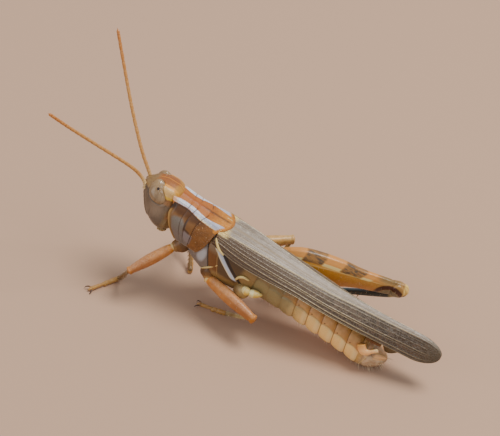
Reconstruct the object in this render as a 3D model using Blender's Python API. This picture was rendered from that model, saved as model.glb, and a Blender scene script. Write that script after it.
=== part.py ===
"""A male spur-throated grasshopper at life size, standing on the floor with its head raised.

One hind leg has been shed, so only its coxa and trochanter are left on that side.

Everything is laid out along the body: a point is (w, a, h) in millimetres, where w runs to the
animal's left, a runs back from the front of the head and h runs up from the body axis. The body
is then pitched head up, lifted until the lowest feet stand on z = 0, and centred over the origin.
The head faces -Y.
"""

from math import cos, pi, radians, sin

import bmesh
import bpy
from mathutils import Vector

MM = 0.001

# Driving dimensions, in millimetres and degrees.
PITCH = radians(13.4)      # how far the head is raised
AXIS_HEIGHT = 8.95         # height of the body axis over the floor, at the front of the head
GAP = 0.06                 # clearance between neighbouring pieces
THIN = 0.5                 # least thickness of a wing or a feeler

HEAD_ROLL = radians(10)    # how far the crown leans to the animal's right
HEAD_PIVOT = 1.5           # height of the line that the head rolls about
EYE_CENTRE = (1.18, 1.62, 2.60)
EYE_RADII = (0.73, 1.06, 1.04)
EYE_LEAN = 0.32            # how far the eyes close in, for each millimetre up
EYE_SLANT = 0.34           # how far they slant forward, for each millimetre up
ANTENNA_ROOT = (0.78, 0.34, 2.02)

DISC_HALF_WIDTH = 1.28     # from the middle of the pronotum to its side ridge
DISC_HEIGHT = 3.12
LOBE_HALF_WIDTH = 2.3
LOBE_BOTTOM = -0.5

WING_START = 8.4
WING_END = 32.3
TIP_START = 0.90           # share of a wing's length where its rounded tip begins
TIP_HEIGHT = 2.62          # height of the very tip

SEGMENT_COUNT = 8          # rings of the abdomen in front of its tip
ABDOMEN_START = 13.75
ABDOMEN_END = 25.6

FOOT_HEIGHT = 0.27         # height of a tarsus's centre line over the floor


def floor_under(a):
    """Height of the floor, measured square to the body axis, at the distance a along it."""
    return (a * sin(PITCH) - AXIS_HEIGHT) / cos(PITCH)


def place(point):
    """Body coordinates in millimetres to world coordinates in metres, never below the floor."""
    w, a, h = point
    y = a * cos(PITCH) + h * sin(PITCH)
    z = h * cos(PITCH) - a * sin(PITCH) + AXIS_HEIGHT
    return Vector((w, y, max(z, 0.0))) * MM


def mix(low, high, t):
    return low + (high - low) * t


def smooth(stations, count):
    """A Catmull-Rom curve through a few stations, each a tuple, read at evenly spaced steps."""
    last = len(stations) - 1
    rows = []
    for step in range(count):
        place_on = step / (count - 1) * last
        start = min(int(place_on), last - 1)
        t = place_on - start
        near = [stations[min(max(start + k, 0), last)] for k in (-1, 0, 1, 2)]
        rows.append(tuple(
            0.5 * (2 * b + (c - a) * t + (2 * a - 5 * b + 4 * c - d) * t * t
                   + (3 * b - a - 3 * c + d) * t ** 3)
            for a, b, c, d in zip(*near)))
    return rows


def oval(half_width, up, down, sides, power=2.0):
    """Points (x, y) round a closed oval. A power over 2 makes it squarer."""
    points = []
    for k in range(sides):
        angle = 2 * pi * k / sides
        c = cos(angle)
        s = sin(angle)
        x = half_width * abs(c) ** (2 / power) * (1 if c >= 0 else -1)
        y = abs(s) ** (2 / power) * (up if s >= 0 else -down)
        points.append((x, y))
    return points


def material(name, colour, roughness=0.45):
    made = bpy.data.materials.get(name)
    if made is None:
        made = bpy.data.materials.new(name)
        made.use_nodes = True
        shader = made.node_tree.nodes["Principled BSDF"]
        shader.inputs["Base Color"].default_value = (*colour, 1.0)
        shader.inputs["Roughness"].default_value = roughness
        shader.inputs["Metallic"].default_value = 0.0
    return made


def loft(name, rings, finish, root):
    """One closed body through rings of points, with a fan of faces over each end."""
    mesh = bpy.data.meshes.new(name)
    shape = bmesh.new()
    rows = [[shape.verts.new(place(point)) for point in ring] for ring in rings]
    count = len(rows[0])
    for near, far in zip(rows, rows[1:]):
        for k in range(count):
            after = (k + 1) % count
            shape.faces.new((near[k], near[after], far[after], far[k]))
    for row in (rows[0], rows[-1]):
        middle = shape.verts.new(sum((vert.co for vert in row), Vector()) / count)
        for k in range(count):
            shape.faces.new((row[k], row[(k + 1) % count], middle))
    bmesh.ops.recalc_face_normals(shape, faces=shape.faces)
    shape.to_mesh(mesh)
    shape.free()
    mesh.shade_smooth()
    mesh.materials.append(finish)
    piece = bpy.data.objects.new(name, mesh)
    bpy.context.collection.objects.link(piece)
    piece.parent = root
    return piece


def body_rings(stations, count, sides, power):
    """Rings square to the body axis from stations (a, top, bottom, half width)."""
    rings = []
    for a, top, bottom, half_width in smooth(stations, count):
        middle = (top + bottom) / 2
        half = (top - bottom) / 2
        outline = oval(half_width, half, half, sides, power)
        rings.append([(x, a, middle + y) for x, y in outline])
    return rings


def limb(name, path, radii, finish, root, rings=8, sides=10, flat=1.0):
    """A tapering rod along a path of body points. flat is its side-to-side share of its height."""
    rows = smooth([(*point, radius) for point, radius in zip(path, radii)], rings)
    centres = [Vector(row[:3]) for row in rows]
    made = []
    for k, centre in enumerate(centres):
        ahead = centres[min(k + 1, rings - 1)] - centres[max(k - 1, 0)]
        ahead.normalize()
        across = ahead.cross(Vector((0, 0, 1)))
        if across.length < 0.2:
            across = ahead.cross(Vector((0, 1, 0)))
        across.normalize()
        upward = across.cross(ahead)
        radius = rows[k][3]
        outline = oval(radius * flat, radius, radius, sides)
        made.append([centre + across * x + upward * y for x, y in outline])
    return loft(name, made, finish, root)


def between(start, end, shares):
    """Points on the straight line from start to end."""
    return [tuple(mix(p, q, share) for p, q in zip(start, end)) for share in shares]


def mirrored(point, side):
    return (point[0] * side, point[1], point[2])


def rolled(point):
    """Turns a point of the upright head by the head's roll."""
    w, a, h = point
    rise = h - HEAD_PIVOT
    return (w * cos(HEAD_ROLL) - rise * sin(HEAD_ROLL), a,
            HEAD_PIVOT + rise * cos(HEAD_ROLL) + w * sin(HEAD_ROLL))


def rolled_rings(rings):
    return [[rolled(point) for point in ring] for ring in rings]


def trim(piece, *neighbours):
    """Cuts a piece clear of its neighbours, leaving the gap between them."""
    for other in neighbours:
        cutter = other.copy()
        cutter.data = other.data.copy()
        cutter.name = "cutter_" + piece.name + "_" + other.name
        cutter.modifiers.clear()
        for vert, normal in zip(cutter.data.vertices, [v.normal.copy() for v in other.data.vertices]):
            vert.co += normal * GAP * MM
        bpy.context.collection.objects.link(cutter)
        cutter.hide_render = True
        cutter.display_type = "WIRE"
        cut = piece.modifiers.new("clear of " + other.name, "BOOLEAN")
        cut.operation = "DIFFERENCE"
        cut.object = cutter


# --- Colours -----------------------------------------------------------------------------------

def finishes():
    return {
        "face": material("face_taupe", (0.17, 0.13, 0.10)),
        "eye": material("eye_greige", (0.38, 0.29, 0.19), 0.25),
        "shield": material("shield_orange", (0.52, 0.21, 0.07)),
        "side": material("thorax_grey_brown", (0.20, 0.15, 0.11)),
        "wing": material("wing_grey", (0.30, 0.26, 0.21), 0.55),
        "belly": material("belly_yellow", (0.60, 0.37, 0.13)),
        "leg": material("leg_salmon", (0.58, 0.24, 0.09)),
        "shin": material("shin_blue", (0.04, 0.05, 0.06)),
        "feeler": material("feeler_orange", (0.60, 0.28, 0.09)),
    }


# --- Head --------------------------------------------------------------------------------------

def make_head(finish, root):
    """A deep head, lofted from the mouth up, with a slanting face and the crown behind the eyes."""
    # Each station is (height, front of the face, back of the head, half width).
    stations = [
        (-1.15, 2.80, 3.65, 0.58),
        (-0.96, 2.32, 4.02, 1.12),
        (-0.60, 1.80, 4.30, 1.56),
        (0.02, 1.14, 4.50, 1.88),
        (0.95, 0.56, 4.45, 1.94),
        (1.85, 0.12, 4.10, 1.88),
        (2.38, -0.04, 3.95, 1.72),
        (2.88, 0.40, 3.85, 1.60),
        (3.36, 0.95, 3.62, 1.36),
        (3.70, 1.80, 3.10, 0.55),
    ]
    rings = []
    for h, front, back, half_width in smooth(stations, 14):
        widest = mix(front, back, 0.55)
        outline = oval(half_width, back - widest, widest - front, 16, 2.2)
        rings.append([(x, widest + y, h) for x, y in outline])
    return loft("head", rolled_rings(rings), finish["face"], root)


def make_eye(name, side, finish, root):
    rings = []
    w, a, h = mirrored(EYE_CENTRE, side)
    wide, long, tall = EYE_RADII
    for step in range(9):
        angle = mix(-0.48 * pi, 0.48 * pi, step / 8)
        scale = cos(angle)
        rise = tall * sin(angle)
        outline = oval(wide * scale, long * scale, long * scale, 12)
        rings.append([(w + x - side * rise * EYE_LEAN, a + y - rise * EYE_SLANT, h + rise)
                      for x, y in outline])
    return loft(name, rolled_rings(rings), finish["eye"], root)


def make_labrum(finish, root):
    """The clypeus and the lip below it, a shield that hangs in front of the jaws."""
    stations = [
        (-0.25, 1.24, 0.90),
        (-0.62, 1.64, 0.82),
        (-1.00, 2.14, 0.66),
        (-1.34, 2.66, 0.42),
    ]
    rings = []
    for h, front, half_width in smooth(stations, 6):
        outline = oval(half_width, 0.62, 0.22, 14, 2.4)
        rings.append([(x, front + 0.22 + y, h) for x, y in outline])
    return loft("labrum", rolled_rings(rings), finish["face"], root)


def make_jaws(finish, root):
    stations = [
        (-0.92, 2.98, 0.58),
        (-1.25, 3.16, 0.62),
        (-1.52, 3.34, 0.42),
    ]
    rings = []
    for h, a, half_width in smooth(stations, 4):
        outline = oval(half_width, 0.42, 0.28, 12, 2.4)
        rings.append([(x, a + y, h) for x, y in outline])
    return loft("jaws", rolled_rings(rings), finish["face"], root)


def make_palps(name, side, finish, root):
    path = [(0.80, 3.92, -0.60), (1.10, 3.90, -0.92), (1.04, 3.66, -1.20), (0.84, 3.36, -1.32)]
    return limb(name, [rolled(mirrored(p, side)) for p in path], (0.25, 0.26, 0.25, 0.26),
                finish["leg"], root, rings=8, sides=7)


def make_antenna(name, path, finish, root):
    """A long thin feeler on a stouter first joint."""
    radii = (0.36, 0.27, 0.25, 0.25, 0.25, 0.25)
    return limb(name, path, radii, finish["feeler"], root, rings=26, sides=6)


# --- Trunk -------------------------------------------------------------------------------------

def shield_front(h):
    """The pronotum's front margin, upright above and sweeping back below."""
    over = min(max(h - 2.6, 0.0) / 0.7, 1.0)
    return 3.36 + 0.48 * max(2.1 - h, 0.0) ** 1.4 - 0.30 * over


def shield_rear(w, h):
    """Its rear margin: a lobe that leans back, and a blunt angle over the wing bases."""
    edge = 7.07 + 0.76 * max(h - LOBE_BOTTOM, 0.0) ** 0.4
    over = max(h - 2.45, 0.0) / (DISC_HEIGHT - 2.45)
    return edge + min(over, 1.0) * (1 - (abs(w) / 1.9) ** 1.6)


def make_pronotum(finish, root):
    """The saddle-shaped shield: a flat disc between two ridges, with a side lobe below each."""
    half_outline = [
        (0.00, 1.00), (0.50, 0.99), (0.92, 0.975), (1.00, 0.95),
    ]
    rings = []
    for step in range(9):
        t = step / 8
        waist = 1 - 0.10 * sin(pi * min(t * 1.25, 1.0))
        top = DISC_HEIGHT + 0.26 * (1 - t) ** 3
        disc = DISC_HALF_WIDTH * waist * mix(0.92, 1.08, t)
        lobe = LOBE_HALF_WIDTH * mix(0.94, 1.03, t)
        right = [(disc * x, top * y) for x, y in half_outline]
        right += [
            (mix(disc, lobe, 0.42), 2.45),
            (mix(disc, lobe, 0.80), 1.75),
            (lobe, 0.95),
            (lobe * 0.985, 0.30),
            (lobe * 0.93, -0.22),
            (lobe * 0.80, LOBE_BOTTOM),
            (lobe * 0.40, LOBE_BOTTOM),
            (0.0, LOBE_BOTTOM),
        ]
        outline = right + [(-x, h) for x, h in reversed(right[1:-1])]
        rings.append([(w, mix(shield_front(h), shield_rear(w, h), t), h) for w, h in outline])
    return loft("pronotum", rings, finish["shield"], root)


def make_thorax(finish, root):
    """The throat and the deep box of the middle and hind thorax, which carries the wings."""
    stations = [
        (4.5, 0.2, -0.95, 0.95),
        (6.0, 1.0, -1.25, 1.60),
        (7.3, 1.8, -2.00, 2.05),
        (8.7, 2.3, -2.65, 2.32),
        (10.3, 2.3, -2.85, 2.40),
        (12.0, 2.25, -2.80, 2.38),
        (13.69, 2.1, -2.35, 2.20),
    ]
    return loft("thorax", body_rings(stations, 14, 18, 2.5), finish["side"], root)


def abdomen_section(a):
    """(middle height, radius) of the abdomen, which sags and tapers towards its tip."""
    t = (a - ABDOMEN_START) / (ABDOMEN_END - ABDOMEN_START)
    middle = -0.12 - 1.30 * t ** 1.6
    radius = 2.10 - 0.46 * t
    return middle, radius


def make_abdomen(name, first, last, finish, root):
    """Some of the abdomen's rings, each swelling to its rear edge before the next begins."""
    length = (ABDOMEN_END - ABDOMEN_START) / SEGMENT_COUNT
    rings = []
    for segment in range(first, last):
        start = ABDOMEN_START + length * segment
        for share, swell in ((0.03, 0.93), (0.40, 0.985), (0.95, 1.0)):
            a = start + share * length
            middle, radius = abdomen_section(a)
            outline = oval(radius * swell, radius * swell, radius * swell, 16, 2.15)
            rings.append([(x, a, middle + y) for x, y in outline])
    return loft(name, rings, finish["belly"], root)


def make_tip(finish, root):
    """The last rings with the swollen, upturned plate below them."""
    stations = [
        (25.63, 0.10, -3.05, 1.56),
        (26.25, -0.10, -3.06, 1.50),
        (26.95, -0.35, -2.86, 1.30),
        (27.60, -0.62, -2.42, 0.94),
        (28.10, -0.92, -1.80, 0.42),
    ]
    return loft("subgenital_plate", body_rings(stations, 8, 16, 2.1), finish["belly"], root)


def make_roof_plate(finish, root):
    """The small three-sided plate over the tip, between the cerci."""
    stations = [
        (25.63, 0.45, 0.05, 0.66),
        (26.30, 0.42, -0.02, 0.56),
        (27.00, 0.12, -0.30, 0.32),
    ]
    return loft("supra_anal_plate", body_rings(stations, 5, 10, 2.3), finish["belly"], root)


def make_cercus(name, side, finish, root):
    """A short broad boot-shaped feeler beside the tip."""
    path = [(1.56, 25.35, 0.02), (1.66, 25.90, -0.42), (1.58, 26.40, -0.12), (1.36, 26.90, 0.36)]
    return limb(name, [mirrored(p, side) for p in path], (0.36, 0.34, 0.30, 0.25),
                finish["belly"], root, rings=7, sides=8)


# --- Wings -------------------------------------------------------------------------------------

def wing_section(t):
    """(ridge w, ridge h, edge w, edge h) of a folded wing cover at the share t of its length."""
    stations = [
        (1.35, 2.95, 2.36, 1.75),
        (1.28, 2.95, 2.40, 1.32),
        (1.02, 2.86, 2.34, 1.35),
        (0.76, 2.76, 2.20, 1.48),
        (0.56, 2.76, 2.02, 1.36),
        (0.40, 3.00, 1.72, 1.25),
        (0.30, 3.22, 1.35, 1.22),
        (0.26, 3.52, 0.98, 1.22),
        (0.24, 3.66, 0.72, 1.30),
    ]
    return smooth(stations, 97)[round(t * 96)]


def make_tegmen(name, side, finish, root):
    """A leathery wing cover: a flat top half and a side that slopes down round the body."""
    inner_edge = GAP / 2
    rings = []
    shares = [step / 11 * TIP_START for step in range(12)]
    shares += [mix(TIP_START, 1.0, sin(step * pi / 10.5)) for step in range(1, 6)]
    for t in shares:
        a = mix(WING_START, WING_END, t)
        ridge_w, ridge_h, edge_w, edge_h = wing_section(t)
        depth = (1 - (max(t - TIP_START, 0.0) / (1 - TIP_START)) ** 2) ** 0.5
        ridge_h = mix(TIP_HEIGHT, ridge_h, depth)
        edge_h = mix(TIP_HEIGHT, edge_h, depth)
        crown = ridge_h + 0.06 * depth
        outer = [
            (inner_edge, crown),
            (ridge_w * 0.55, crown - 0.02),
            (ridge_w, ridge_h),
            (mix(ridge_w, edge_w, 0.45), mix(ridge_h, edge_h, 0.25)),
            (mix(ridge_w, edge_w, 0.80), mix(ridge_h, edge_h, 0.60)),
            (edge_w, edge_h),
        ]
        low = mix(ridge_h, edge_h, 0.60)
        middle = mix(ridge_h, edge_h, 0.25)
        inner = [
            (edge_w - THIN, edge_h + 0.02 * depth),
            (mix(ridge_w, edge_w, 0.80) - THIN, mix(edge_h, low, 0.75)),
            (mix(ridge_w, edge_w, 0.45) - THIN, mix(low, middle, 0.55)),
            (inner_edge, mix(low, crown - THIN, 0.9)),
        ]
        inner = [(max(w, inner_edge), h) for w, h in inner]
        rings.append([(side * w, a, h) for w, h in outer + inner])
    return loft(name, rings, finish["wing"], root)


def make_hind_wings(finish, root):
    """The fan of the hind wings, folded away under the covers."""
    stations = [
        (14.6, 2.10, 1.95, 0.55),
        (18.0, 2.02, 1.62, 0.62),
        (21.5, 1.98, 1.32, 0.50),
        (25.0, 1.85, 0.72, 0.34),
        (26.3, 1.75, 0.52, 0.28),
        (27.0, 1.66, 0.24, 0.26),
        (27.6, 1.55, -0.34, 0.25),
        (28.2, 1.35, -0.20, 0.25),
        (28.8, 1.05, 0.45, 0.25),
    ]
    return loft("hind_wings", body_rings(stations, 9, 10, 2.2), finish["wing"], root)


# --- Legs --------------------------------------------------------------------------------------

def on_floor(w, a):
    """A point of a foot's centre line, standing over (w, a) on the floor."""
    return (w, a, floor_under(a) + FOOT_HEIGHT / cos(PITCH))


# Each walking leg: where its coxa leaves the body, its hip, its knee, and its foot's heel and toe.
WALKING_LEGS = {
    "fore_left": ((1.35, 6.15, -0.85), (2.00, 5.45, -1.42), (4.40, 3.10, -4.70),
                  (2.22, 2.55), (5.10, 0.80)),
    "fore_right": ((-1.35, 6.15, -0.85), (-1.95, 5.80, -1.45), (-5.50, 5.70, -4.50),
                   (-2.30, 8.00), (-5.10, 7.20)),
    "mid_left": ((1.55, 9.40, -1.90), (2.10, 9.80, -2.38), (4.10, 15.40, -2.00),
                 (1.25, 13.00), (1.45, 10.40)),
    "mid_right": ((-1.55, 9.30, -1.60), (-2.45, 9.75, -1.75), (-6.25, 14.70, -0.15),
                  (-6.00, 14.40), (-7.50, 16.30)),
}

HIND_HIP = (3.00, 13.95, -0.30)
HIND_KNEE = (6.62, 26.30, 1.38)
HIND_HEEL = (5.00, 15.90)
HIND_TOE = (5.90, 19.20)


def make_foot(name, heel, toe, finish, root):
    """Three pads and a last long joint that ends in the claws, flat underneath."""
    ankle = on_floor(*heel)
    tip = on_floor(*toe)
    shares = (0.0, 0.12, 0.24, 0.36, 0.48, 0.60, 0.80, 1.0)
    radii = (0.25, 0.33, 0.26, 0.32, 0.26, 0.30, 0.25, 0.31)
    return limb(name, between(ankle, tip, shares), radii, finish["feeler"], root, rings=14, sides=7)


def make_walking_leg(name, points, body, finish, root):
    """A short coxa, a thick femur, a thin tibia and a foot, each cut clear of the one above."""
    side_root, hip, knee, heel, toe = points
    coxa = limb("coxa_" + name, between(side_root, hip, (-0.35, 0.4, 1.0)), (0.75, 0.72, 0.46),
                finish["leg"], root, rings=5, sides=10)
    thigh = between(hip, knee, (-0.02, 0.18, 0.50, 0.80, 0.94, 1.06))
    femur = limb("femur_" + name, thigh, (0.30, 0.47, 0.55, 0.44, 0.42, 0.30),
                 finish["leg"], root, rings=10)
    ankle = on_floor(*heel)
    shin = between(knee, ankle, (0.03, 0.12, 0.35, 0.70, 0.97))
    tibia = limb("tibia_" + name, shin, (0.22, 0.28, 0.25, 0.25, 0.26), finish["leg"], root, rings=7, sides=8)
    foot = make_foot("tarsus_" + name, heel, toe, finish, root)
    trim(coxa, *body)
    trim(femur, coxa, *body)
    trim(tibia, femur)
    trim(foot, tibia)


def make_hind_coxa(name, side, finish, root):
    path = [(1.75, 12.70, -1.55), (2.35, 13.20, -1.30), (2.72, 13.85, -1.02)]
    return limb(name, [mirrored(p, side) for p in path], (0.78, 0.74, 0.42),
                finish["belly"], root, rings=7, sides=11)


def make_hind_leg(name, side, body, finish, root):
    """The jumping leg: a deep flattened femur that ends in a lobed knee, and a long thin tibia."""
    hip = mirrored(HIND_HIP, side)
    knee = mirrored(HIND_KNEE, side)
    coxa = make_hind_coxa("coxa_" + name, side, finish, root)
    shares = (0.0, 0.08, 0.20, 0.34, 0.50, 0.66, 0.80, 0.90, 0.97, 1.03)
    depths = (0.62, 1.40, 1.82, 1.82, 1.58, 1.14, 0.95, 0.88, 0.86, 0.52)
    femur = limb("femur_" + name, between(hip, knee, shares), depths, finish["leg"], root,
                 rings=17, sides=12, flat=0.60)
    joint = (knee[0], knee[1] - 0.10, knee[2] - 0.62)
    ankle = on_floor(side * HIND_HEEL[0], HIND_HEEL[1])
    shin = between(joint, ankle, (-0.01, 0.06, 0.30, 0.65, 0.93, 0.985))
    tibia = limb("tibia_" + name, shin, (0.34, 0.34, 0.30, 0.27, 0.30, 0.27), finish["shin"], root,
                 rings=12, sides=8)
    foot = make_foot("tarsus_" + name, (side * HIND_HEEL[0], HIND_HEEL[1]),
                     (side * HIND_TOE[0], HIND_TOE[1]), finish, root)
    trim(coxa, *body)
    trim(femur, coxa, *body)
    trim(tibia, femur)
    trim(foot, tibia)
    return coxa


# --- The whole animal --------------------------------------------------------------------------

def centre_over_origin(root):
    """Moves the whole animal so that the middle of its box stands over the origin."""
    bpy.context.view_layer.update()
    graph = bpy.context.evaluated_depsgraph_get()
    corners = []
    for piece in root.children:
        if not piece.hide_render:
            corners += [vert.co for vert in piece.evaluated_get(graph).data.vertices]
    for axis in (0, 1):
        low = min(corner[axis] for corner in corners)
        high = max(corner[axis] for corner in corners)
        root.location[axis] = -(low + high) / 2


def build():
    for old in list(bpy.data.objects):
        bpy.data.objects.remove(old, do_unlink=True)
    root = bpy.data.objects.new("grasshopper", None)
    bpy.context.collection.objects.link(root)
    finish = finishes()

    pronotum = make_pronotum(finish, root)
    thorax = make_thorax(finish, root)
    covers = [make_tegmen("tegmen_" + name, side, finish, root)
              for name, side in (("left", 1), ("right", -1))]
    for cover in covers:
        trim(cover, pronotum)
    trim(thorax, pronotum, *covers)

    head = make_head(finish, root)
    labrum = make_labrum(finish, root)
    jaws = make_jaws(finish, root)
    eyes = [make_eye("eye_" + name, side, finish, root)
            for name, side in (("left", 1), ("right", -1))]
    palps = [make_palps("palps_" + name, side, finish, root)
             for name, side in (("left", 1), ("right", -1))]
    trim(head, pronotum, thorax, *eyes)
    trim(labrum, head)
    trim(jaws, head, labrum)
    for palp in palps:
        trim(palp, head, labrum, jaws)

    w, a, h = ANTENNA_ROOT
    reach = {
        "left": [(0.65, -0.45, 2.85), (1.15, -1.90, 3.73), (3.05, -5.43, 5.53),
                 (4.75, -8.30, 7.12), (6.00, -10.64, 8.40)],
        "right": [(-0.76, -0.14, 2.60), (-1.50, -1.90, 3.95), (-2.90, -4.48, 6.22),
                  (-4.40, -7.06, 8.73), (-5.90, -9.65, 11.35)],
    }
    for name, side in (("left", 1), ("right", -1)):
        path = [rolled((side * w, a, h))] + reach[name]
        trim(make_antenna("antenna_" + name, path, finish, root), head, *eyes)

    body = [thorax, pronotum]
    for name, points in WALKING_LEGS.items():
        make_walking_leg(name, points, body, finish, root)
    right_hip = make_hind_leg("hind_right", -1, body, finish, root)
    left_hip = make_hind_coxa("coxa_hind_left", 1, finish, root)
    trim(left_hip, *body)

    front = make_abdomen("abdomen_front", 0, 4, finish, root)
    rear = make_abdomen("abdomen_rear", 4, SEGMENT_COUNT, finish, root)
    tip = make_tip(finish, root)
    roof = make_roof_plate(finish, root)
    trim(front, *covers, right_hip, left_hip)
    trim(rear, front)
    trim(roof, rear, tip)
    for name, side in (("left", 1), ("right", -1)):
        trim(make_cercus("cercus_" + name, side, finish, root), rear, tip, roof)
    trim(make_hind_wings(finish, root), front, rear, *covers)

    centre_over_origin(root)


build()
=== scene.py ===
"""A life-size male spur-throated grasshopper that stands on the floor with its head raised.

Most places are given along the body, in millimetres: w runs to the animal's left, a runs back from
the front of the head and h runs up from the body axis.
"""

from math import cos, exp, hypot, pi, radians, sin

import bmesh
import bpy
from mathutils import Matrix, Vector


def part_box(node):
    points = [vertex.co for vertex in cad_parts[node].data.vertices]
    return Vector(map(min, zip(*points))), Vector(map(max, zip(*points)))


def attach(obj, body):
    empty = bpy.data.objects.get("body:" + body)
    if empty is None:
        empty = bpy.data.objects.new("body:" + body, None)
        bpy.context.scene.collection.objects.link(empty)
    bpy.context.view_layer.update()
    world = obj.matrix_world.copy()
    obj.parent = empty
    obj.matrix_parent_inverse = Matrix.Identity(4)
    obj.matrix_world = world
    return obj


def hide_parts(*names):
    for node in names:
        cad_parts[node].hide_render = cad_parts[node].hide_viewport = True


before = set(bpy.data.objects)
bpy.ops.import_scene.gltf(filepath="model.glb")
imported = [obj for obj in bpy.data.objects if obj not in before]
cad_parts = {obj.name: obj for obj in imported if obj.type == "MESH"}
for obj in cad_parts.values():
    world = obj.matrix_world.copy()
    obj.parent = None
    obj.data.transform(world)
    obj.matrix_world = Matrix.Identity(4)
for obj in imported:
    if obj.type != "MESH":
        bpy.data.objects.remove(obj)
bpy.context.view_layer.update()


# --- The body axis -----------------------------------------------------------------------------
# Everything grows along one axis, which is pitched head up over the floor. The axis is set where
# the solid wings have it, and a place on the body becomes a place over the floor.

MM = 0.001
PITCH = radians(13.4)       # how far the head is raised
AXIS_HEIGHT = 8.95          # height of the axis over the floor, at the front of the head
WING_TIP = (32.29, 2.68)    # where the solid wings end, as (distance along, height over the axis)

wing_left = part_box("tegmen_left")
wing_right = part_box("tegmen_right")
MIDDLE_X = (wing_left[0].x + wing_right[1].x) / 2 / MM
SHIFT_Y = wing_left[1].y / MM - WING_TIP[0] * cos(PITCH) - WING_TIP[1] * sin(PITCH)


def place(point):
    """A place on the body in millimetres to a place in the room in metres, never under the floor."""
    w, a, h = point
    y = a * cos(PITCH) + h * sin(PITCH) + SHIFT_Y
    z = h * cos(PITCH) - a * sin(PITCH) + AXIS_HEIGHT
    return Vector((w + MIDDLE_X, y, max(z, 0.0))) * MM


# --- Floor, light and camera -------------------------------------------------------------------
# A plain pale floor, one broad soft light overhead, a weaker one from the front, and a long lens
# that looks down on the left side with the head up and to the left.

VIEW_LIFT = radians(42)      # how far the view is lifted round the body axis, from its left side
VIEW_TURN = radians(31.5)    # how far the body axis then turns down to the right
VIEW_CENTRE = (0.0, 10.19, 5.0)
VIEW_DISTANCE = 0.40
FRAME_WIDTH = 46.73 * MM
SENSOR_WIDTH = 36.0


def add_object(name, data):
    made = bpy.data.objects.new(name, data)
    bpy.context.collection.objects.link(made)
    return made


def add_light(name, size, power, colour, place_at, towards):
    lamp = bpy.data.lights.new(name, "AREA")
    lamp.size = size
    lamp.energy = power
    lamp.color = colour
    light = add_object(name, lamp)
    light.location = place_at
    light.rotation_euler = (Vector(towards) - Vector(place_at)).to_track_quat("-Z", "Y").to_euler()


def add_camera():
    tailward = Vector((0, cos(PITCH), -sin(PITCH)))
    upward = Vector((0, sin(PITCH), cos(PITCH)))
    leftward = Vector((1, 0, 0))
    back = leftward * cos(VIEW_LIFT) + upward * sin(VIEW_LIFT)
    over = upward * cos(VIEW_LIFT) - leftward * sin(VIEW_LIFT)
    right = tailward * cos(VIEW_TURN) + over * sin(VIEW_TURN)
    above = over * cos(VIEW_TURN) - tailward * sin(VIEW_TURN)
    data = bpy.data.cameras.new("camera")
    data.sensor_width = SENSOR_WIDTH
    data.lens = SENSOR_WIDTH * VIEW_DISTANCE / FRAME_WIDTH
    data.clip_start = 0.01
    camera = add_object("camera", data)
    turn = Matrix((right, above, back)).transposed().to_4x4()
    camera.matrix_world = Matrix.Translation(place(VIEW_CENTRE) + back * VIEW_DISTANCE) @ turn
    bpy.context.scene.camera = camera


def add_floor():
    mesh = bpy.data.meshes.new("floor")
    reach = 2.0
    mesh.from_pydata([(-reach, -reach, 0), (reach, -reach, 0), (reach, reach, 0), (-reach, reach, 0)],
                     [], [(0, 1, 2, 3)])
    paper = bpy.data.materials.new("floor_paper")
    paper.use_nodes = True
    shader = paper.node_tree.nodes["Principled BSDF"]
    shader.inputs["Base Color"].default_value = (0.53, 0.34, 0.23, 1)
    shader.inputs["Roughness"].default_value = 0.9
    mesh.materials.append(paper)
    floor = add_object("floor", mesh)


def add_sky():
    sky = bpy.data.worlds.new("sky")
    sky.use_nodes = True
    backdrop = sky.node_tree.nodes["Background"]
    backdrop.inputs["Color"].default_value = (0.90, 0.94, 1.0, 1)
    backdrop.inputs["Strength"].default_value = 0.55
    bpy.context.scene.world = sky


add_floor()
add_sky()
add_light("overhead", 0.16, 1.45, (1.0, 0.95, 0.88), (-0.06, 0.10, 0.36), (0, 0, 0))
add_light("front", 0.25, 0.35, (0.95, 0.97, 1.0), (0.30, -0.25, 0.18), (0, 0, 0.005))
add_camera()


# --- Head capsule ------------------------------------------------------------------------------
# One hard shell of chitin, deep from crown to mouth, with a slanting face. It is lofted from the
# mouth up, and its ridges, grooves and eye sockets are pressed out of the shell.

def mix(low, high, share):
    return low + (high - low) * share


def step(low, high, x):
    """0 below low, 1 above high, and a smooth rise between them, for a number or a node's value."""
    if not isinstance(x, (int, float)):
        return x.look.step(low, high, x)
    share = min(max((x - low) / (high - low), 0.0), 1.0)
    return share * share * (3 - 2 * share)


def band(x, centre, half, soft):
    """1 where x is within half of the centre, and 0 outside, with a soft edge."""
    return 1 - step(half - soft, half + soft, abs(x - centre))


def hump(x, width):
    """A smooth bump of height 1 round x = 0."""
    return exp(-(x / width) ** 2)


def curve(stations, share):
    """The place at a share of the way along a Catmull-Rom curve through a few stations."""
    last = len(stations) - 1
    start = min(int(share * last), last - 1)
    t = share * last - start
    near = [stations[min(max(start + k, 0), last)] for k in (-1, 0, 1, 2)]
    return tuple(
        0.5 * (2 * b + (c - a) * t + (2 * a - 5 * b + 4 * c - d) * t * t
               + (3 * b - a - 3 * c + d) * t ** 3)
        for a, b, c, d in zip(*near))


def smooth(stations, count):
    return [curve(stations, k / (count - 1)) for k in range(count)]


def oval(half_width, up, down, sides, power=2.0):
    """Points (x, y) round a closed oval. A power over 2 makes it squarer."""
    points = []
    for k in range(sides):
        angle = 2 * pi * k / sides
        c = cos(angle)
        s = sin(angle)
        x = half_width * abs(c) ** (2 / power) * (1 if c >= 0 else -1)
        y = abs(s) ** (2 / power) * (up if s >= 0 else -down)
        points.append((x, y))
    return points


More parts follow.
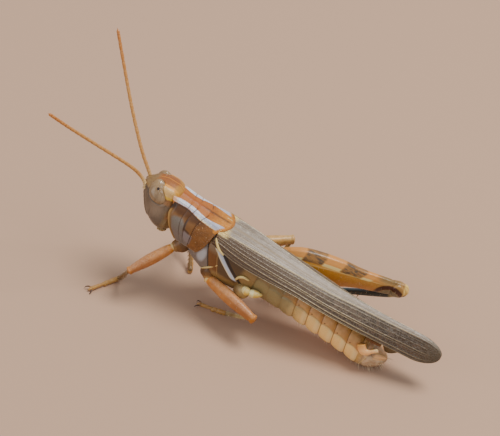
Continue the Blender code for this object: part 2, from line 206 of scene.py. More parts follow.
class Value:
    """What comes out of a shader node, for use in sums as if it were a number."""

    def __init__(self, look, socket):
        self.look = look
        self.socket = socket

    def __add__(self, other):
        return self.look.maths("ADD", self, other)

    def __mul__(self, other):
        return self.look.maths("MULTIPLY", self, other)

    def __sub__(self, other):
        return self.look.maths("SUBTRACT", self, other)

    def __rsub__(self, other):
        return self.look.maths("SUBTRACT", other, self)

    def __truediv__(self, other):
        return self.look.maths("DIVIDE", self, other)

    def __pow__(self, other):
        return self.look.maths("POWER", self, other)

    def __abs__(self):
        return self.look.maths("ABSOLUTE", self)

    __radd__ = __add__
    __rmul__ = __mul__


RICHNESS = 1.22     # chitin is more deeply coloured than the light it throws back from its gloss


def paint(red, green, blue):
    """A colour as it looks, 0 to 255, to the richer linear colour of the chitin itself."""
    linear = [c / 255 / 12.92 if c < 10 else ((c / 255 + 0.055) / 1.055) ** 2.4
              for c in (red, green, blue)]
    grey = sum(linear) / 3
    return tuple(max(grey + (c - grey) * RICHNESS, 0.002) for c in linear) + (1.0,)


class Look:
    """One material, built up from expressions on places along the body."""

    def __init__(self, name, roughness=0.4, coat=0.0, subsurface=0.0):
        self.material = bpy.data.materials.new(name)
        self.material.use_nodes = True
        self.tree = self.material.node_tree
        self.shader = self.tree.nodes["Principled BSDF"]
        self.shader.inputs["Roughness"].default_value = roughness
        self.shader.inputs["Coat Weight"].default_value = coat
        self.shader.inputs["Coat Roughness"].default_value = 0.15
        self.where = self.body()
        if subsurface:
            self.shader.inputs["Subsurface Weight"].default_value = subsurface
            self.shader.inputs["Subsurface Radius"].default_value = (1.0, 0.45, 0.2)
            self.shader.inputs["Subsurface Scale"].default_value = 0.25 * MM

    def node(self, kind, settings, inputs, output=0):
        """Adds a node, sets what it is, then gives each of its sockets a value or a link."""
        made = self.tree.nodes.new(kind)
        for name, value in settings.items():
            setattr(made, name, value)
        for name, value in inputs.items():
            if isinstance(value, Value):
                self.tree.links.new(value.socket, made.inputs[name])
            else:
                made.inputs[name].default_value = value
        return Value(self, made.outputs[output])

    def maths(self, operation, *terms):
        return self.node("ShaderNodeMath", {"operation": operation}, dict(enumerate(terms)))

    def blend(self, share, low, high):
        """The colour low where share is 0, and high where it is 1. Plain colours run 0 to 255."""
        ends = [paint(*colour) if isinstance(colour, tuple) else colour for colour in (low, high)]
        return self.node("ShaderNodeMix", {"data_type": "RGBA"}, {0: share, 6: ends[0], 7: ends[1]}, 2)

    def layers(self, colour, *coats):
        """A colour with others laid over it in turn, each as (share, colour)."""
        for share, over in coats:
            colour = self.blend(share, colour, over)
        return colour

    def step(self, low, high, x):
        inputs = {"From Min": low, "From Max": high, "Value": x}
        return self.node("ShaderNodeMapRange", {"interpolation_type": "SMOOTHSTEP"}, inputs)

    def noise(self, scale, detail, stretch=(1, 1, 1)):
        drawn = self.node("ShaderNodeMapping", {}, {"Vector": self.where, "Scale": stretch})
        return self.node("ShaderNodeTexNoise", {}, {"Vector": drawn, "Scale": scale, "Detail": detail})

    def cells(self, where, scale):
        """Distance from the nearest wall of an uneven honeycomb."""
        return self.node("ShaderNodeTexVoronoi", {"feature": "DISTANCE_TO_EDGE"},
                         {"Vector": where, "Scale": scale})

    def split(self, where):
        """The three numbers of a place."""
        return [self.node("ShaderNodeSeparateXYZ", {}, {"Vector": where}, k) for k in range(3)]

    def highest(self, first, *others):
        for other in others:
            first = self.maths("MAXIMUM", first, other)
        return first

    def body(self):
        """The place on the body, in millimetres along its own axis."""
        room = self.node("ShaderNodeTexCoord", {}, {}, 3)
        turn = Matrix.Rotation(PITCH, 3, "X")
        start = turn @ Vector((MIDDLE_X, SHIFT_Y, AXIS_HEIGHT))
        return self.node("ShaderNodeMapping", {},
                         {"Vector": room, "Location": -start, "Rotation": (PITCH, 0, 0),
                          "Scale": (1 / MM, 1 / MM, 1 / MM)})

    def marks(self):
        """(share along, two numbers for the way round or across) of a shape's own points."""
        return self.node("ShaderNodeAttribute", {"attribute_name": "marks"}, {}, 1)

    def finish(self, colour, height=None, depth=0.02, roughness=None):
        """Wires the colour, the small relief, whose depth is in millimetres, and the gloss."""
        self.tree.links.new(colour.socket, self.shader.inputs["Base Color"])
        if height is not None:
            relief = self.node("ShaderNodeBump", {}, {"Height": height, "Distance": depth * MM})
            self.tree.links.new(relief.socket, self.shader.inputs["Normal"])
        if roughness is not None:
            self.tree.links.new(roughness.socket, self.shader.inputs["Roughness"])
        return self.material


class Shape:
    """Closed bodies that are joined into one piece. Each point also carries three marks.

    loft gives the shape back, so that its calls can be chained.
    """

    def __init__(self):
        self.points = []
        self.faces = []
        self.marks = []

    def loft(self, rings, marks=None):
        """A closed body through rings of points, with a fan of faces over each end."""
        start = len(self.points)
        last = len(rings) - 1
        count = len(rings[0])
        for j, ring in enumerate(rings):
            for k, point in enumerate(ring):
                angle = 2 * pi * k / count
                self.points.append(tuple(point))
                self.marks.append(marks[j][k] if marks else (j / last, cos(angle), sin(angle)))
        for j in range(last):
            for k in range(count):
                near = start + j * count
                after = (k + 1) % count
                self.faces.append((near + k, near + after, near + count + after, near + count + k))
        for first, ring in ((start, rings[0]), (start + last * count, rings[-1])):
            middle = len(self.points)
            self.points.append(tuple(sum(p[axis] for p in ring) / count for axis in range(3)))
            self.marks.append(tuple(sum(m[axis] for m in self.marks[first:first + count]) / count
                                    for axis in range(3)))
            for k in range(count):
                self.faces.append((first + k, first + (k + 1) % count, middle))
        return self

    def piece(self, name, look, slot, *nodes):
        """Makes the mesh, in its place in the room, and lets it stand for the solid's nodes."""
        mesh = bpy.data.meshes.new(name)
        mesh.from_pydata([place(point) for point in self.points], [], self.faces)
        marks = mesh.attributes.new("marks", "FLOAT_VECTOR", "POINT")
        marks.data.foreach_set("vector", [number for mark in self.marks for number in mark])
        shape = bmesh.new()
        shape.from_mesh(mesh)
        bmesh.ops.recalc_face_normals(shape, faces=shape.faces)
        shape.to_mesh(mesh)
        shape.free()
        mesh.shade_smooth()
        mesh.materials.append(look)
        made = add_object(name, mesh)
        if nodes:
            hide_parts(*nodes)
        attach(made, "root")


HEAD_ROLL = radians(10)     # how far the head is tipped to the animal's right
HEAD_PIVOT = 1.5            # height of the line it is tipped about
EYE_CENTRE = (1.21, 1.62, 2.64)
EYE_RADII = (0.73, 0.98, 1.00)
EYE_TAPER = 0.30            # how much narrower an eye is at its top than at its middle
EYE_LEAN = 0.32             # how far it leans in for each millimetre up
EYE_SLANT = 0.34            # how far it leans forward for each millimetre up
ANTENNA_ROOT = (0.78, 0.34, 2.02)

# Each station is (height, front of the face, back of the head, half width).
HEAD_STATIONS = [
    (-1.15, 2.80, 3.65, 0.58),
    (-0.96, 2.32, 4.02, 1.12),
    (-0.60, 1.80, 4.30, 1.56),
    (0.02, 1.14, 4.50, 1.88),
    (0.95, 0.56, 4.45, 1.94),
    (1.85, 0.12, 4.10, 1.88),
    (2.38, -0.04, 3.95, 1.72),
    (2.88, 0.40, 3.85, 1.60),
    (3.36, 0.95, 3.62, 1.36),
    (3.70, 1.80, 3.10, 0.55),
]


def rolled(point):
    """Turns a point of the upright head by the head's roll."""
    w, a, h = point
    rise = h - HEAD_PIVOT
    return (w * cos(HEAD_ROLL) - rise * sin(HEAD_ROLL), a,
            HEAD_PIVOT + rise * cos(HEAD_ROLL) + w * sin(HEAD_ROLL))


def eye_distance(w, a, h):
    """1 on the surface of the nearer eye, less inside it and more outside."""
    side = 1 if w >= 0 else -1
    rise = h - EYE_CENTRE[2]
    taper = 1 - EYE_TAPER * max(min(rise / EYE_RADII[2], 1.0), -1.0)
    across = (w * side - EYE_CENTRE[0] + rise * EYE_LEAN) / (EYE_RADII[0] * taper)
    along = (a - EYE_CENTRE[1] + rise * EYE_SLANT) / (EYE_RADII[1] * taper)
    return (across ** 2 + along ** 2 + (rise / EYE_RADII[2]) ** 2) ** 0.5


def head_relief(w, a, h, facing):
    """How far the shell stands out or in, where facing is 1 at the front of the face."""
    out = abs(w)
    face = step(0.45, 0.75, facing)
    costa = 0.10 * hump(out - 0.30, 0.10) * step(-0.5, -0.1, h) * (1 - step(2.3, 2.6, h))
    keel_w = mix(0.66, 1.15, (1.7 - h) / 2.1)
    keel = 0.11 * hump(out - keel_w, 0.09) * step(-0.55, -0.3, h) * (1 - step(1.5, 1.9, h))
    under_eye = -0.07 * hump(a - mix(1.66, 2.05, (1.0 - h) / 2.0), 0.07)
    under_eye *= step(1.0, 1.3, out) * step(-1.2, -0.9, h) * (1 - step(0.9, 1.15, h))
    lip_seam = -0.07 * hump(h + 0.36, 0.07)
    cheek_edge = 0.06 * hump(a - mix(3.65, 3.95, facing), 0.10) * step(0.9, 1.3, out)
    socket = hypot(out - ANTENNA_ROOT[0], h - ANTENNA_ROOT[2])
    feeler = 0.05 * hump(socket - 0.30, 0.07) - 0.10 * hump(socket, 0.2)
    brow = 0.06 * hump(out - 0.36, 0.10) * step(2.35, 2.7, h) * (1 - step(3.3, 3.6, h))
    brow *= step(0.1, 0.5, facing)
    crown = -0.03 * hump(out, 0.06) * step(3.0, 3.3, h)
    near = eye_distance(w, a, h)
    rim = 0.05 * hump(near - 1.12, 0.07) - 0.32 * (1 - step(0.86, 1.03, near))
    return face * (costa + keel + lip_seam + feeler) + under_eye + cheek_edge + brow + crown + rim


def head_rings(count, sides):
    rings = []
    for h, front, back, half_width in smooth(HEAD_STATIONS, count):
        widest = mix(front, back, 0.55)
        ring = []
        for x, y in oval(half_width, back - widest, widest - front, sides, 2.2):
            facing = max(-y / (widest - front), 0.0)
            reach = hypot(x, y)
            out = 1 + head_relief(x, widest + y, h, facing) / max(reach, 0.3)
            ring.append(rolled((x * out, widest + y * out, h)))
        rings.append(ring)
    return rings


def unrolled(look):
    """The place (w, a, h) on the upright head, for its paint."""
    w, a, h = look.split(look.where)
    rise = h - HEAD_PIVOT
    return (w * cos(HEAD_ROLL) + rise * sin(HEAD_ROLL), a,
            HEAD_PIVOT + rise * cos(HEAD_ROLL) - w * sin(HEAD_ROLL))


def head_paint():
    look = Look("head_chitin", roughness=0.36, coat=0.25)
    w, a, h = unrolled(look)
    out = abs(w)
    cloud = look.noise(1.6, 4)
    grain = look.noise(9, 3)
    # cheek is a paler patch below the eye: partly the cheek's own lighter grey and partly a painted
    # highlight.
    cheek = band(a, 2.15, 0.6, 0.5) * band(h, 1.15, 0.7, 0.5)
    behind_face = a - 0.12 - (1.85 - h) * 0.63
    ahead = step(0.65, 0.25, behind_face) * step(2.5, 2.2, h)
    above_lip = step(-0.50, -0.30, h)
    keel = band(out + (h + 0.4) * 0.233, 1.15, 0.05, 0.06) * step(1.1, 0.7, behind_face)
    ocellus = (w ** 2 + (h - 1.42) ** 2) ** 0.5
    olive = step(3.0, 3.5, a + (cloud - 0.5) * 0.6) * step(1.9, 1.2, h)
    brown = band(h, 2.30, 0.30, 0.20) * step(1.9, 2.3, a) * step(1.0, 1.3, out)
    tail = step(3.2, 3.5, a) * step(2.6, 2.2, h) * step(0.4, 0.9, h)
    behind = step(2.55, 2.70, h) * step(1.2, 1.7, a)
    line = band(h, 2.66, 0.13, 0.05) * step(1.9, 2.2, a)
    side = step(2.95, 3.12, h + a * 0.05) * step(1.16, 1.00, out - a * 0.05)
    rusty = step(0.94, 0.80, out - a * 0.02) * step(2.65, 2.9, h)
    nape = step(2.5, 3.0, a - abs(out - 0.8) * 0.4) * step(2.7, 2.9, h)
    brow = step(1.2, 0.7, a) * step(2.3, 2.5, h)
    spots = step(0.52, 0.60, look.noise(3.4, 1))
    beside = band(out, 0.78, 0.15, 0.06) * band(h, 2.12, 0.34, 0.10) * step(0.9, 0.6, a)
    face = look.layers(
        look.blend(cloud, (94, 80, 67), (122, 105, 88)),
        (step(1.2, -0.6, h) * 0.7, (98, 87, 79)),
        (step(1.5, 0.1, a - h * 0.15) * 0.6, (88, 72, 58)),
        (cheek * 0.75, (152, 134, 116)),
        (step(0.24, 0.12, out) * ahead * above_lip * 0.4, (76, 60, 46)),
        (band(out, 0.31, 0.05, 0.06) * ahead * above_lip * 0.45, (166, 146, 120)),
        (keel * above_lip * step(1.9, 1.6, h) * 0.45, (162, 142, 116)),
        (band(h, -0.36, 0.03, 0.04) * step(1.6, 1.2, out) * 0.7, (58, 44, 34)),
        (step(0.13, 0.10, ocellus) * ahead, (40, 30, 26)),
        (olive * 0.6, (146, 122, 82)),
        (brown * 0.8, (144, 100, 62)),
        (tail * 0.6, (140, 84, 44)),
        (behind, (210, 172, 118)),
        (line, (214, 174, 92)),
        (side, (222, 154, 80)),
        (rusty, look.blend(grain, (136, 82, 44), (164, 104, 60))),
        (step(0.12, 0.04, out) * step(2.9, 3.1, h), (190, 126, 66)),
        (nape * 0.6, (196, 150, 78)),
        (band(out, 0.17, 0.05, 0.03) * step(2.9, 3.1, h) * 0.6, (132, 66, 36)),
        (brow, look.blend(spots * 0.5, (140, 112, 78), (110, 86, 58))),
        (beside, (88, 52, 32)),
        (step(0.56, 0.66, grain) * 0.35, (84, 70, 52)),
    )
    pits = look.cells(look.where, 7)
    return look.finish(face, step(0.0, 0.16, pits) * 0.7 + grain, 0.018, 0.30 + grain * 0.22)


Shape().loft(head_rings(150, 150)).piece("head_capsule", head_paint(), "face", "head")


# --- Eyes --------------------------------------------------------------------------------------
# Two tall compound eyes, glossy domes of tiny six-sided facets that sit in the shell's sockets.
# They are banded faintly from top to bottom, and each has one dark point.

SIDES = ((1, "left"), (-1, "right"))
EYE_SPOT = (1.66, 1.46, 3.08)     # the dark point, in the left eye of an upright head


def eye_rings(side):
    rings = []
    w, a, h = EYE_CENTRE
    wide, long, tall = EYE_RADII
    steps = 60
    reach = 0.495 * pi          # just short of the poles
    for k in range(steps + 1):
        angle = mix(-reach, reach, k / steps)
        rise = tall * sin(angle)
        scale = cos(angle) * (1 - EYE_TAPER * sin(angle))
        outline = oval(wide * scale, long * scale, long * scale, 72)
        rings.append([rolled((side * w + x - side * rise * EYE_LEAN, a + y - rise * EYE_SLANT, h + rise))
                      for x, y in outline])
    return rings


def eye_paint():
    look = Look("eye_cuticle", roughness=0.16, coat=0.7)
    w, a, h = unrolled(look)
    out = abs(w)
    bands = look.noise(3.2, 2, (1.0, 1.0, 0.12))
    cloud = look.noise(0.9, 2)
    rise = (h - EYE_SPOT[2]) * 0.7
    from_spot = ((out - EYE_SPOT[0]) ** 2 + (a - EYE_SPOT[1]) ** 2 + rise ** 2) ** 0.5
    colour = look.layers(
        look.blend(step(0.35, 0.65, bands), (127, 105, 80), (147, 123, 96)),
        (step(2.7, 3.4, h) * 0.6, (160, 132, 98)),
        (step(2.1, 1.3, h + (cloud - 0.5) * 0.6) * 0.5, (140, 116, 80)),
        (step(0.36, 0.10, from_spot) * 0.35, (110, 82, 52)),
        (step(0.155, 0.105, from_spot), (38, 22, 16)),
    )
    facets = look.cells(look.where, 26)
    return look.finish(colour, step(0.0, 0.12, facets), 0.004)


eye_look = eye_paint()
for side, hand in SIDES:
    Shape().loft(eye_rings(side)).piece("compound_eye_" + hand, eye_look, "eye", "eye_" + hand)


# --- Feelers -----------------------------------------------------------------------------------
# Each antenna is a chain of about two dozen small rings on a stout first joint and a short second
# one. The rings swell towards their far ends, which gives the feeler its beaded outline.

FEELER_PATHS = {
    "left": [ANTENNA_ROOT, (0.65, -0.45, 2.85), (1.15, -1.90, 3.73), (3.05, -5.43, 5.53),
             (4.75, -8.30, 7.12), (6.00, -10.64, 8.40)],
    "right": [(-ANTENNA_ROOT[0], *ANTENNA_ROOT[1:]), (-0.76, -0.14, 2.60), (-1.50, -1.90, 3.95),
              (-2.90, -4.48, 6.22), (-4.40, -7.06, 8.73), (-5.90, -9.65, 11.35)],
}
FEELER_JOINTS = 25
UP = Vector((0, 0, 1))


def tube(path, radius, rings, sides, flat=1.0, power=2.0):
    """Rings along a smooth path, with the radius as a function of the share of its length."""
    centres = [Vector(point) for point in smooth(path, rings)]
    made = []
    for k, centre in enumerate(centres):
        ahead = centres[min(k + 1, rings - 1)] - centres[max(k - 1, 0)]
        ahead.normalize()
        across = ahead.cross(UP)
        if across.length < 0.2:
            across = ahead.cross(Vector((0, 1, 0)))
        across.normalize()
        upward = across.cross(ahead)
        reach = radius(k / (rings - 1))
        outline = oval(reach * flat, reach, reach, sides, power)
        made.append([centre + across * x + upward * y for x, y in outline])
    return made


def feeler_radius(share):
    """Stout at the root, then a chain of rings that thins out slowly."""
    joint = share * FEELER_JOINTS
    within = joint % 1.0
    if joint < 1:
        thick = 0.34
    elif joint < 2:
        thick = 0.23
    else:
        thick = mix(0.185, 0.155, share) * step(1.0, 0.97, share) if share < 1 else 0.05
    return thick * (0.80 + 0.20 * step(0.0, 0.25, within)) * (1 - 0.12 * step(0.88, 1.0, within))


def feeler_paint():
    look = Look("feeler_chitin", roughness=0.42, coat=0.15)
    share = look.split(look.marks())[0]
    joint = look.maths("FRACT", share * FEELER_JOINTS)
    grain = look.noise(6, 3)
    colour = look.layers(
        look.blend(step(0.02, 0.30, share), (226, 202, 156), (184, 134, 84)),
        (step(0.65, 1.0, share), (176, 112, 66)),
        (step(0.80, 0.97, joint) * 0.45, (120, 66, 34)),
        (step(0.45, 0.62, grain) * 0.25, (236, 196, 140)),
    )
    return look.finish(colour, grain, 0.01)


feeler_look = feeler_paint()
for hand, path in FEELER_PATHS.items():
    w, a, h = path[0]
    path = [rolled((w, a + 0.06, h - 0.06))] + path[1:]      # the root sits in its socket
    rings = tube(path, feeler_radius, FEELER_JOINTS * 8 + 1, 14)
    Shape().loft(rings).piece("feeler_" + hand, feeler_look, "feeler", "antenna_" + hand)


# --- Mouth -------------------------------------------------------------------------------------
# The clypeus and lip hang in front of two dark-tipped jaws. Behind them, on each side, hang a
# five-jointed palp of the maxilla and a shorter one of the lower lip.

# Each station of the lip is (height, front of it, half width).
LIP_STATIONS = [
    (-0.25, 1.32, 0.88),
    (-0.58, 1.66, 0.82),
    (-0.67, 1.80, 0.70),
    (-0.76, 1.86, 0.73),
    (-1.04, 2.24, 0.64),
    (-1.32, 2.70, 0.40),
]
# Each station of a jaw is (height, middle, inner edge, outer edge).
JAW_STATIONS = [(-0.90, 2.98, 0.03, 0.66), (-1.20, 3.12, 0.03, 0.62), (-1.42, 3.28, 0.03, 0.38),
                (-1.52, 3.36, 0.06, 0.20)]
PALP_PATH = [(0.80, 3.90, -0.52), (1.06, 3.84, -0.80), (1.00, 3.56, -1.02), (0.82, 3.26, -1.14)]
LOWER_PALP_PATH = [(0.40, 3.80, -0.70), (0.56, 3.76, -0.94), (0.54, 3.54, -1.14), (0.46, 3.30, -1.22)]


def mirrored(path, side):
    return [(w * side, a, h) for w, a, h in path]


def mouth_paint(name, pale, dark):
    look = Look(name, roughness=0.38, coat=0.2)
    h = unrolled(look)[2]
    cloud = look.noise(3.5, 4)
    colour = look.blend(cloud, pale, dark)
    colour = look.blend(step(-1.1, -1.5, h) * 0.6, colour, (62, 42, 28))
    return look.finish(colour, cloud, 0.03)


rings = []
for h, front, half_width in smooth(LIP_STATIONS, 40):
    notch = 0.10 * step(-1.0, -1.3, h)
    ring = []
    for x, y in oval(half_width, 0.55, 0.18, 48, 2.4):
        ring.append(rolled((x, front + 0.22 + y + notch * hump(x, 0.10), h)))
    rings.append(ring)
lip_look = mouth_paint("lip_chitin", (122, 106, 86), (92, 76, 60))
Shape().loft(rings).piece("clypeus_and_lip", lip_look, "face", "labrum")

jaw_shape = Shape()
for side in (1, -1):
    rings = []
    for h, a, inner, outer in smooth(JAW_STATIONS, 20):
        middle = (inner + outer) / 2
        rings.append([rolled((side * (middle + x), a + y, h))
                      for x, y in oval((outer - inner) / 2, 0.36, 0.26, 20, 2.6)])
    jaw_shape.loft(rings)
jaw_shape.piece("mandibles", mouth_paint("jaw_chitin", (96, 70, 44), (54, 36, 24)), "face", "jaws")


def palp_radius(joints, thick):
    """Each joint is waisted at both ends, and the last one is a blunt club."""
    def radius(share):
        within = share * joints % 1.0
        end = step(1.0, 0.96, share) if share < 1 else 0.0
        return thick * (0.72 + 0.28 * sin(pi * min(within, 0.98)) ** 0.5) * mix(0.45, 1.0, end)
    return radius


def palp_paint():
    look = Look("palp_chitin", roughness=0.4, coat=0.15, subsurface=0.15)
    share = look.split(look.marks())[0]
    joint = look.maths("FRACT", share * 5)
    colour = look.blend(look.noise(4, 3), (140, 118, 78), (108, 86, 54))
    colour = look.blend(band(joint, 0.5, 0.38, 0.10), (168, 148, 104), colour)
    return look.finish(colour, look.noise(12, 2), 0.01)


palp_look = palp_paint()
for side, hand in SIDES:
    palp_shape = Shape()
    for path, joints, thick in ((PALP_PATH, 5, 0.19), (LOWER_PALP_PATH, 3, 0.15)):
        path = [rolled(point) for point in mirrored(path, side)]
        palp_shape.loft(tube(path, palp_radius(joints, thick), 46, 14))
    palp_shape.piece("palps_" + hand + "_jointed", palp_look, "leg", "palps_" + hand)


# --- Pronotum ----------------------------------------------------------------------------------
# The saddle-shaped shield over the front of the thorax is one plate: a flat disc between two side
# ridges, with a lobe hanging down each side. Three grooves cross it, and a low keel runs along it.

DISC_HALF_WIDTH = 1.28
DISC_HEIGHT = 3.12
LOBE_HALF_WIDTH = 2.3
LOBE_BOTTOM = -0.5
SHOULDER_HEIGHT = 2.45            # where the sides begin to turn over into the disc
SHIELD_MIDDLE = 1.2               # its relief stands out from a line at this height
GROOVES = (0.285, 0.40, 0.60)     # where the three grooves cross, as shares of its length


def shield_front(h):
    """The pronotum's front margin, upright above and sweeping back below."""
    return 3.36 + 0.48 * max(2.1 - h, 0.0) ** 1.4 - 0.30 * step(2.6, 3.3, h)


def shield_rear(w, h):
    """Its rear margin: a lobe that leans back, and a blunt angle over the wing bases."""
    edge = 7.07 + 0.76 * max(h - LOBE_BOTTOM, 0.0) ** 0.4
    over = max(h - SHOULDER_HEIGHT, 0.0) / (DISC_HEIGHT - SHOULDER_HEIGHT)
    return edge + min(over, 1.0) * (1 - min(abs(w) / 1.9, 1.0) ** 2.1)


def shield_outline(t):
    """Its section at a share t of its length, from the keel down the left side to under the body."""
    waist = 1 - 0.10 * sin(pi * min(t * 1.25, 1.0))
    top = DISC_HEIGHT + 0.26 * (1 - t) ** 3
    disc = DISC_HALF_WIDTH * waist * mix(0.92, 1.08, t)
    lobe = LOBE_HALF_WIDTH * mix(0.94, 1.03, t)
    left = [(disc * x, top * y) for x, y in ((0.0, 1.0), (0.5, 0.99), (0.92, 0.975), (1.0, 0.95))]
    left += [(mix(disc, lobe, 0.42), SHOULDER_HEIGHT), (mix(disc, lobe, 0.80), 1.75), (lobe, 0.95),
             (lobe * 0.985, 0.30), (lobe * 0.93, -0.22), (lobe * 0.80, LOBE_BOTTOM),
             (lobe * 0.40, LOBE_BOTTOM), (0.0, LOBE_BOTTOM)]
    return left


def shield_relief(t, w, h):
    """The keel, the ridges, the grooves and the rolled margins of the shield."""
    disc = step(2.6, 2.9, h)
    keel = 0.035 * hump(w, 0.20) * disc * (1 - 0.7 * hump(t - GROOVES[2], 0.02))
    grooves = 0.0
    for groove, strength in zip(GROOVES, (0.6, 0.7, 1.0)):
        side_strength = strength * (1 if h > 0.0 else max(1 + h * 2, 0.0))
        grooves -= 0.075 * hump(t - groove, 0.011) * side_strength * (1 - 0.5 * hump(w, 0.35) * disc)
    front = 0.05 * hump(t - 0.012, 0.02) - 0.04 * hump(t - 0.06, 0.018)
    rear = 0.04 * hump(t - 0.985, 0.02)
    swell = 0.05 * hump(t - 0.16, 0.10) + 0.04 * hump(t - 0.34, 0.05) + 0.04 * hump(t - 0.50, 0.08)
    hem = 0.05 * hump(h - LOBE_BOTTOM - 0.16, 0.10)
    patch = 0.05 * hump(t - 0.36, 0.10) * hump(h - 1.6, 0.4)
    return keel + grooves + front + rear + swell * (1 - disc * 0.6) + hem + patch


def shield_rings(count, sides):
    rings = []
    marks = []
    for j in range(count):
        t = j / (count - 1)
        half = smooth(shield_outline(t), sides)
        outline = half + [(-x, h) for x, h in reversed(half[1:-1])]
        ring = []
        for w, h in outline:
            reach = hypot(w, h - SHIELD_MIDDLE)
            out = 1 + shield_relief(t, w, h) / reach
            a = mix(shield_front(h), shield_rear(w, h), t)
            ring.append((w * out, a, SHIELD_MIDDLE + (h - SHIELD_MIDDLE) * out))
        rings.append(ring)
        marks.append([(t, w, h) for w, h in outline])
    return rings, marks


def shield_paint():
    look = Look("pronotum_chitin", roughness=0.40, coat=0.2)
    t, w, h = look.split(look.marks())
    out = abs(w)
    cloud = look.noise(1.3, 4)
    grain = look.noise(8, 4)
    wander = (cloud - 0.5) * 0.5

    keel_line = band(out, 0.02, 0.10, 0.10) * step(0.40, 0.55, t) * step(0.97, 0.90, t)
    disc = look.layers(
        look.blend(grain, (150, 90, 48), (180, 114, 66)),
        (step(0.55, 0.85, t), look.blend(grain, (186, 120, 62), (210, 148, 84))),
        (band(out, 0.0, 0.20, 0.12) * step(0.9, 0.5, t) * 0.6, (146, 78, 38)),
        (keel_line * 0.8, (96, 64, 34)),
        (step(0.95, 0.99, t) * 0.5, (140, 82, 36)),
    )

    under = step(2.00, 2.50, h + wander) * step(0.84, 0.60, t)
    lilac = step(1.35, 1.00, h + wander) * step(0.62, 0.57, t)
    olive_h = (h - 1.48) / 0.58
    olive_t = (t - 0.25) / 0.17
    olive = step(1.6, 0.5, olive_h ** 2 + olive_t ** 2 + (cloud - 0.5) * 1.6)
    pale = band(h + t * 1.2, 1.35, 0.50, 0.14) * band(t, 0.525, 0.115, 0.02)
    dots = look.node("ShaderNodeTexVoronoi", {}, {"Vector": look.where, "Scale": 2.3, "Randomness": 0.9})
    rim = step(0.10, 0.05, t) * step(2.6, 2.2, h)
    side = look.layers(
        look.blend(step(0.52, 0.70, t), (124, 88, 54), (142, 96, 56)),
        (step(0.35, 0.65, cloud) * 0.5, (104, 66, 34)),
        (under * 0.85, (78, 48, 26)),
        (lilac, look.blend(grain, (104, 95, 90), (128, 118, 112))),
        (olive, look.blend(grain, (106, 99, 90), (128, 119, 110))),
        (pale * 0.8, (134, 124, 124)),
        (band(t, 0.405, 0.02, 0.016) * band(h, 1.75, 0.55, 0.15) * 0.9, (44, 28, 20)),
        (band(t, 0.47, 0.08, 0.02) * band(h + t, 1.82, 0.10, 0.08) * 0.8, (54, 36, 26)),
        (step(0.13, 0.07, dots) * step(0.60, 0.64, t) * 0.8, (226, 190, 150)),
        (rim, look.blend(step(0.02, 0.05, t), (162, 126, 80), (124, 94, 60))),
        (step(-0.22, -0.40, h) * step(0.3, 0.6, grain) * 0.6, (206, 196, 180)),
    )

    inner = 0.70 + 0.16 * step(0.25, 0.0, t) + 0.36 * step(0.28, 0.64, t) - 0.18 * step(0.64, 0.95, t)
    lower = 3.02 - 0.27 * step(0.22, 0.60, t)
    edge = lower - 0.22 * step(0.86, 0.95, t) - 0.25 * step(0.04, 0.0, t)
    ragged = (grain - 0.5) * 0.08
    stripe = step(inner - 0.03, inner + 0.03, out + ragged) * step(lower - 0.03, lower + 0.03, h + ragged)
    stripe = stripe * step(0.95, 0.90, t + (grain - 0.5) * 0.06)
    white = look.layers(
        look.blend(step(0.42, 0.62, grain), (196, 198, 212), (226, 226, 232)),
        (step(2.90, 2.80, h) * 0.9, (244, 234, 200)),
        (step(0.62, 0.90, t) * 0.55, (186, 182, 194)),
        (step(0.12, 0.03, t) * 0.8, (220, 166, 118)),
    )

    corner = step(0.13, 0.05, t) * step(edge - 0.60, edge - 0.30, h)
    under = step(edge - 0.24, edge - 0.08, h) * step(0.62, 0.52, t)
    side = look.blend(look.highest(under * 0.65, corner * 0.9), side, (50, 36, 26))
    cut = look.highest(*[band(t, groove, 0.006, 0.006) for groove in GROOVES])
    colour = look.layers(
        look.blend(step(edge - 0.06, edge, h), side, disc),
        (stripe, white),
        (cut * step(0.4, 0.7, out) * step(0.2, 0.7, h) * 0.85, (74, 48, 34)),
    )
    pits = step(0.02, 0.20, look.cells(look.where, 6.5))
    pitted = step(0.55, 0.65, t) * 0.9 + 0.1
    return look.finish(colour, pits * pitted + grain * 0.6, 0.035, 0.32 + grain * 0.25)


Shape().loft(*shield_rings(170, 90)).piece("pronotum_plate", shield_paint(), "shield", "pronotum")


# --- Middle and hind thorax --------------------------------------------------------------------
# The box that carries the wings and the two hinder pairs of legs. Its side plates meet at slanting
# seams, with a pale streak along one of them, and its floor is a broad smooth breastplate.

# Each station is (distance along, top, bottom, half width).
THORAX_STATIONS = [
    (4.5, 0.2, -0.95, 0.95),
    (6.0, 1.0, -1.25, 1.60),
    (7.3, 1.8, -2.00, 2.05),
    (8.7, 2.3, -2.65, 2.32),
    (10.3, 2.3, -2.85, 2.40),
    (12.0, 2.25, -2.80, 2.38),
    (13.69, 2.1, -2.35, 2.20),
]
# Each seam leans back as it goes down: (where it crosses the axis, how far it leans for each
# millimetre down, depth).
FRONT_SEAM = (8.74, 0.48, 0.10)
MIDDLE_SEAM = (9.78, 0.42, 0.07)
STREAK = (11.03, 1.32)             # the pale streak, in the same way
STREAK_HALF_WIDTH = 0.20


def seam_distance(seam, a, h):
    """Distance from a slanting seam, positive behind it."""
    start, lean = seam[:2]
    return (a - start + h * lean) / hypot(1, lean)


